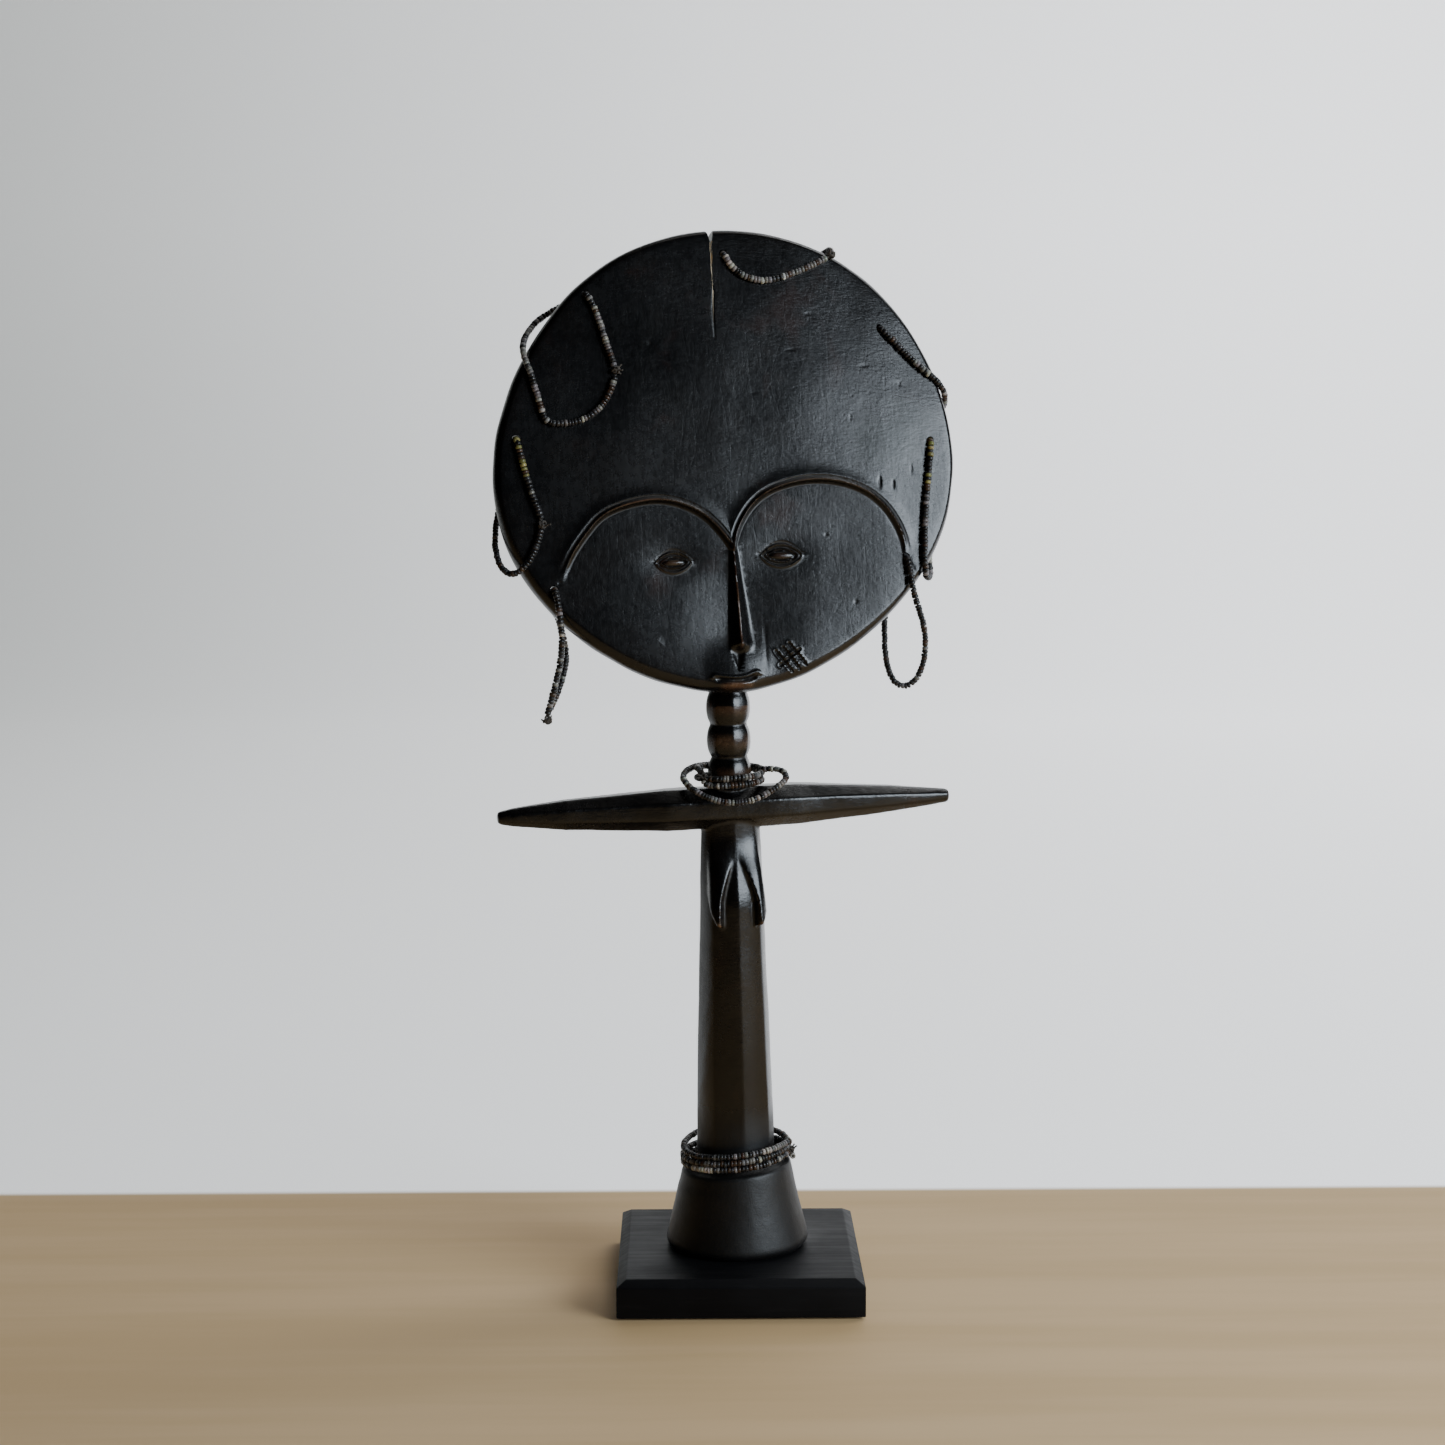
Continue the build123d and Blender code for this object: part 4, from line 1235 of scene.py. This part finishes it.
# ---------------------------------------------------------------- materials
class Nodes:
    """A short way to write a material's node tree."""

    def __init__(self, name):
        self.material = bpy.data.materials.new(name)
        self.material.use_nodes = True
        self.tree = self.material.node_tree
        self.shader = self.tree.nodes["Principled BSDF"]
        self.place = self.tree.nodes.new("ShaderNodeTexCoord").outputs["Object"]

    def link(self, source, target):
        self.tree.links.new(source, target)

    def give(self, target, value):
        if isinstance(value, bpy.types.NodeSocket):
            self.link(value, target)
        else:
            target.default_value = value

    def stretched(self, scale, turn=(0, 0, 0)):
        mapping = self.tree.nodes.new("ShaderNodeMapping")
        mapping.inputs["Scale"].default_value = scale
        mapping.inputs["Rotation"].default_value = turn
        self.link(self.place, mapping.inputs["Vector"])
        return mapping.outputs["Vector"]

    def noise(self, scale, detail=4.0, rough=0.55, vector=None, warp=0.0):
        node = self.tree.nodes.new("ShaderNodeTexNoise")
        self.link(vector or self.place, node.inputs["Vector"])
        node.inputs["Scale"].default_value = scale
        node.inputs["Detail"].default_value = detail
        node.inputs["Roughness"].default_value = rough
        node.inputs["Distortion"].default_value = warp
        return node.outputs["Fac"]

    def cells(self, scale, vector=None, feature="F1"):
        node = self.tree.nodes.new("ShaderNodeTexVoronoi")
        node.feature = feature
        self.link(vector or self.place, node.inputs["Vector"])
        node.inputs["Scale"].default_value = scale
        return node.outputs["Distance"]

    def span(self, value, low, high, to_low=0.0, to_high=1.0):
        node = self.tree.nodes.new("ShaderNodeMapRange")
        node.interpolation_type = "SMOOTHSTEP"
        self.link(value, node.inputs["Value"])
        for name, number in (("From Min", low), ("From Max", high), ("To Min", to_low), ("To Max", to_high)):
            node.inputs[name].default_value = number
        return node.outputs["Result"]

    def math(self, operation, first, second):
        node = self.tree.nodes.new("ShaderNodeMath")
        node.operation = operation
        self.give(node.inputs[0], first)
        self.give(node.inputs[1], second)
        return node.outputs["Value"]

    def add(self, first, *others):
        for other in others:
            first = self.math("ADD", first, other)
        return first

    def times(self, first, second):
        return self.math("MULTIPLY", first, second)

    def place_along(self, axis):
        node = self.tree.nodes.new("ShaderNodeSeparateXYZ")
        self.link(self.place, node.inputs["Vector"])
        return node.outputs[axis]

    def mix(self, share, first, second):
        node = self.tree.nodes.new("ShaderNodeMix")
        node.data_type = "RGBA"
        self.give(node.inputs["Factor"], share)
        self.give(node.inputs["A"], (*first, 1.0) if isinstance(first, tuple) else first)
        self.give(node.inputs["B"], (*second, 1.0) if isinstance(second, tuple) else second)
        return node.outputs["Result"]

    def attribute(self, name, output="Fac"):
        node = self.tree.nodes.new("ShaderNodeAttribute")
        node.attribute_name = name
        return node.outputs[output]

    def bump(self, height, distance, strength=1.0, before=None):
        node = self.tree.nodes.new("ShaderNodeBump")
        node.inputs["Strength"].default_value = strength
        node.inputs["Distance"].default_value = distance
        self.link(height, node.inputs["Height"])
        if before:
            self.link(before, node.inputs["Normal"])
        return node.outputs["Normal"]

    def finish(self, colour, roughness, normal=None, **fixed):
        self.give(self.shader.inputs["Base Color"], colour)
        self.give(self.shader.inputs["Roughness"], roughness)
        if normal:
            self.link(normal, self.shader.inputs["Normal"])
        for name, value in fixed.items():
            self.shader.inputs[name.replace("_", " ")].default_value = value
        return self.material


def once(make):
    """Makes a material the first time it is asked for, and gives the same one after that."""
    made = {}

    def get():
        if make not in made:
            made[make] = make()
        return made[make]

    return get


def crack_line(n):
    """Pale bare wood in the split at the top of the disc: a thin line that fades out below it."""
    axes = HEAD.to_3x3()
    centre = Vector(HEAD_CENTRE) * MM

    def coordinate(axis):
        node = n.tree.nodes.new("ShaderNodeVectorMath")
        node.operation = "DOT_PRODUCT"
        n.link(n.place, node.inputs[0])
        node.inputs[1].default_value = axis
        return n.math("SUBTRACT", node.outputs["Value"], axis.dot(centre))

    u, v, w = (coordinate(axes.col[k]) for k in range(3))
    wander = n.span(n.noise(110, 3, 0.6), 0.3, 0.7, -0.25 * MM, 0.25 * MM)
    middle = n.span(v, 41 * MM, 73 * MM, -3.75 * MM, -3.35 * MM)
    aside = n.math("SUBTRACT", n.math("SUBTRACT", u, middle), n.times(wander, 0.5))
    off = n.math("ABSOLUTE", aside, 0.0)
    half = n.span(v, 50 * MM, 70 * MM, 0.09 * MM, 0.34 * MM)
    line = n.math("LESS_THAN", off, half)
    ends = n.times(n.span(v, 42 * MM, 60 * MM, 0.0, 1.0), n.span(v, 71.5 * MM, 73.5 * MM, 1.0, 0.0))
    front = n.math("GREATER_THAN", w, -7 * MM)
    return n.times(n.times(line, ends), front)


PATINA_BLACK = (0.0009, 0.0009, 0.0011)
PATINA_SOFT = (0.0026, 0.0020, 0.0018)
PATINA_RED = (0.017, 0.0052, 0.0028)
PATINA_GRAIN = (0.0056, 0.0038, 0.0030)
BARE_DARK = (0.075, 0.032, 0.016)
BARE_PALE = (0.205, 0.118, 0.064)
DUST = (0.030, 0.024, 0.018)
SPLIT_WOOD = (0.88, 0.72, 0.50)
# the foot is rougher than the wood above it, and the change lies between these heights in metres
FOOT_SHEEN_ENDS = (0.052, 0.064)


@once
def carved_wood():
    """Near-black handled patina over brown wood: soft waxy sheen, fine scratches, pits and open grain."""
    n = Nodes("carved_wood")
    wear = n.attribute("wear")
    raw = crack_line(n)
    dust = n.attribute("dust")
    along_grain = n.stretched((1.0, 1.0, 0.12))
    grain = n.noise(900, 5, 0.6, along_grain)
    blotch = n.noise(55, 5, 0.6, warp=0.6)
    cloud = n.noise(22, 3, 0.5)
    speck = n.noise(420, 4, 0.65)
    patina = n.mix(n.span(blotch, 0.42, 0.66), PATINA_BLACK, PATINA_SOFT)
    patina = n.mix(n.span(n.noise(34, 4, 0.6, warp=0.4), 0.58, 0.74, 0.0, 0.8), patina, PATINA_RED)
    patina = n.mix(n.span(grain, 0.55, 0.75, 0.0, 0.4), patina, PATINA_GRAIN)
    worn_share = n.times(n.span(wear, 0.16, 0.92), n.span(speck, 0.28, 0.58, 0.35, 1.0))
    bare = n.mix(n.span(blotch, 0.35, 0.7), BARE_DARK, BARE_PALE)
    colour = n.mix(worn_share, patina, bare)
    colour = n.mix(n.times(dust, n.span(speck, 0.35, 0.7, 0.05, 0.35)), colour, DUST)
    colour = n.mix(raw, colour, SPLIT_WOOD)

    scratch_one = n.cells(190, n.stretched((0.14, 1.0, 1.0), (0.1, 0.35, 0.2)), "DISTANCE_TO_EDGE")
    scratch_two = n.cells(150, n.stretched((1.0, 1.0, 0.10), (0.0, 0.5, 0.1)), "DISTANCE_TO_EDGE")
    scratches = n.times(n.span(scratch_one, 0.0, 0.035), n.span(scratch_two, 0.0, 0.03))
    fine = n.noise(1500, 3, 0.6, n.stretched((0.25, 1.0, 1.0), (0.2, 0.6, 0.0)))
    pits = n.span(n.cells(380), 0.05, 0.2)
    at_foot = n.span(n.place_along("Z"), *FOOT_SHEEN_ENDS, 0.28, 0.0)
    rough = n.add(
        n.span(cloud, 0.3, 0.7, 0.22, 0.275), n.span(speck, 0.3, 0.7, -0.02, 0.03), at_foot,
        n.times(dust, 0.22), n.times(raw, 0.3),
    )
    skin = n.add(
        n.times(scratches, 0.06), n.times(fine, 0.45), n.times(pits, 0.12), n.times(n.noise(160, 4, 0.6), 0.55),
        n.times(grain, 0.30),
    )
    normal = n.bump(skin, 0.00010, 1.0)
    return n.finish(colour, rough, normal, Specular_IOR_Level=0.5, Coat_Weight=0.06, Coat_Roughness=0.2)


@once
def ebonised_wood():
    """A stained black block: matte, with its grain along X still open."""
    n = Nodes("ebonised_wood")
    grain = n.noise(420, 6, 0.65, n.stretched((0.07, 1.0, 1.0)))
    pores = n.span(n.cells(900, n.stretched((0.06, 1.0, 1.0))), 0.08, 0.3)
    cloud = n.noise(30, 4, 0.6)
    colour = n.mix(n.span(cloud, 0.35, 0.7), (0.0045, 0.0045, 0.0052), (0.0072, 0.0072, 0.0080))
    colour = n.mix(n.span(grain, 0.52, 0.72, 0.0, 0.35), colour, (0.016, 0.015, 0.0145))
    rough = n.add(n.span(cloud, 0.3, 0.7, 0.44, 0.56), n.span(grain, 0.3, 0.7, -0.05, 0.06))
    height = n.add(n.times(grain, 0.7), n.times(pores, 0.5))
    return n.finish(colour, rough, n.bump(height, 0.00004, 0.7), Specular_IOR_Level=0.10)


@once
def bead_glass():
    """Old opaque glass seed beads: each bead's own colour, a soft gloss, and dirt in places."""
    n = Nodes("bead_glass")
    tint = n.attribute("bead_tint", "Color")
    dirt = n.noise(700, 4, 0.6)
    colour = n.mix(n.span(dirt, 0.50, 0.68, 0.0, 0.55), tint, (0.020, 0.016, 0.013))
    rough = n.span(dirt, 0.35, 0.7, 0.22, 0.52)
    height = n.noise(2600, 3, 0.6)
    return n.finish(colour, rough, n.bump(height, 0.00002, 0.6), Specular_IOR_Level=0.5)


@once
def thread_cotton():
    """Twisted cotton, dark with age."""
    n = Nodes("thread_cotton")
    twist = n.tree.nodes.new("ShaderNodeTexWave")
    twist.bands_direction = "DIAGONAL"
    n.link(n.place, twist.inputs["Vector"])
    twist.inputs["Scale"].default_value = 900
    twist.inputs["Distortion"].default_value = 3.0
    fluff = n.noise(1800, 4, 0.7)
    colour = n.mix(n.span(fluff, 0.35, 0.7), (0.030, 0.024, 0.019), (0.105, 0.085, 0.064))
    colour = n.mix(n.span(twist.outputs["Fac"], 0.2, 0.8, 0.0, 0.4), colour, (0.014, 0.011, 0.009))
    height = n.add(twist.outputs["Fac"], n.times(fluff, 0.6))
    return n.finish(colour, 0.85, n.bump(height, 0.00006, 1.0), Sheen_Weight=0.25, Sheen_Roughness=0.5)


@once
def rod_steel():
    """Turned mild steel with the tool's rings and a little oil."""
    n = Nodes("rod_steel")
    rings = n.noise(2500, 3, 0.6, n.stretched((0.02, 0.02, 1.0)))
    stain = n.noise(160, 4, 0.6)
    colour = n.mix(n.span(stain, 0.4, 0.7), (0.50, 0.50, 0.50), (0.36, 0.33, 0.29))
    rough = n.span(rings, 0.3, 0.7, 0.24, 0.44)
    return n.finish(colour, rough, n.bump(rings, 0.00003, 0.7), Metallic=1.0)


@once
def black_felt():
    """Pressed black felt."""
    n = Nodes("black_felt")
    fibres = n.noise(2200, 5, 0.7, warp=1.2)
    clumps = n.noise(300, 3, 0.6)
    colour = n.mix(n.span(fibres, 0.3, 0.7), (0.012, 0.012, 0.013), (0.045, 0.045, 0.048))
    height = n.add(fibres, n.times(clumps, 0.5))
    return n.finish(colour, 0.95, n.bump(height, 0.00015, 1.0), Sheen_Weight=0.3, Sheen_Roughness=0.6)


def stage_floor():
    """A plain pale floor, warm near the object and pale grey behind it. The grey part glows with painted light,
    dim on the left and bright on the right.
    """
    n = Nodes("stage_floor")
    back = n.span(n.place_along("Y"), FLOOR_EDGE - 0.003, FLOOR_EDGE + 0.003)
    streak = n.noise(26, 4, 0.6, n.stretched((0.08, 1.0, 1.0)))
    warm = n.mix(n.span(streak, 0.35, 0.65), (0.66, 0.445, 0.215), (0.74, 0.510, 0.265))
    colour = n.mix(back, warm, (0.70, 0.70, 0.69))
    # painted light: the grey part behind the object glows, dimmer on the left and brighter on the right, and
    # this glow also lights the object from behind
    painted_glow = n.mix(n.span(n.place_along("X"), -1.1, 1.1), (0.27, 0.28, 0.27), (1.35, 1.38, 1.44))
    n.link(painted_glow, n.shader.inputs["Emission Color"])
    n.link(back, n.shader.inputs["Emission Strength"])
    return n.finish(colour, 0.75)


# ---------------------------------------------------------------- stage and light
FLOOR_EDGE = 0.100
STAGE_HALF = 2.4


def make_stage():
    """A floor that sweeps up into a pale backdrop far behind the object."""
    points, faces = [], []
    bend = 0.5
    rows = [(-STAGE_HALF, 0.0), (0.0, 0.0), (1.6, 0.0)]
    rows += [(1.6 + bend * math.sin(a), bend * (1 - math.cos(a))) for a in np.linspace(0.1, math.pi / 2, 12)]
    rows += [(1.6 + bend, 2.6)]
    for y, z in rows:
        points.extend([(-STAGE_HALF, y, z), (STAGE_HALF, y, z)])
    for i in range(len(rows) - 1):
        faces.append((2 * i, 2 * i + 1, 2 * i + 3, 2 * i + 2))
    floor = bare_object("stage_floor", points, faces)
    floor.data.materials.append(stage_floor())
    smooth_shade(floor)


def area_light(name, place, target, width, height, power, colour):
    data = bpy.data.lights.new(name, "AREA")
    data.shape = "RECTANGLE"
    data.size = width
    data.size_y = height
    data.energy = power
    data.color = colour
    light = new_object(name, data)
    light.location = place
    light.rotation_euler = (Vector(target) - Vector(place)).to_track_quat("-Z", "Y").to_euler()


def make_lights():
    """One large soft window on the right, level with the head, a weak ceiling bounce and a dim surround."""
    area_light("window", (0.81, -0.61, 0.44), (0.0, 0.0, 0.25), 0.66, 0.46, 12.0, (0.80, 0.90, 1.0))
    area_light("ceiling", (0.25, 0.15, 1.35), (0.0, 0.0, 0.1), 0.9, 0.7, 1.4, (1.0, 0.98, 0.94))
    area_light("backdrop_light", (0.9, 0.6, 1.5), (0.2, 1.7, 0.6), 1.2, 0.8, 14.0, (0.96, 0.98, 1.0))
    world = bpy.data.worlds.new("surround")
    world.use_nodes = True
    world.node_tree.nodes["Background"].inputs["Color"].default_value = (0.80, 0.84, 0.90, 1.0)
    world.node_tree.nodes["Background"].inputs["Strength"].default_value = 0.008
    bpy.context.scene.world = world


# ---------------------------------------------------------------- make everything
make_head_strands()
make_body_strands()
make_figure()
make_plinth()
dress_cad_nodes()
make_stage()
make_lights()
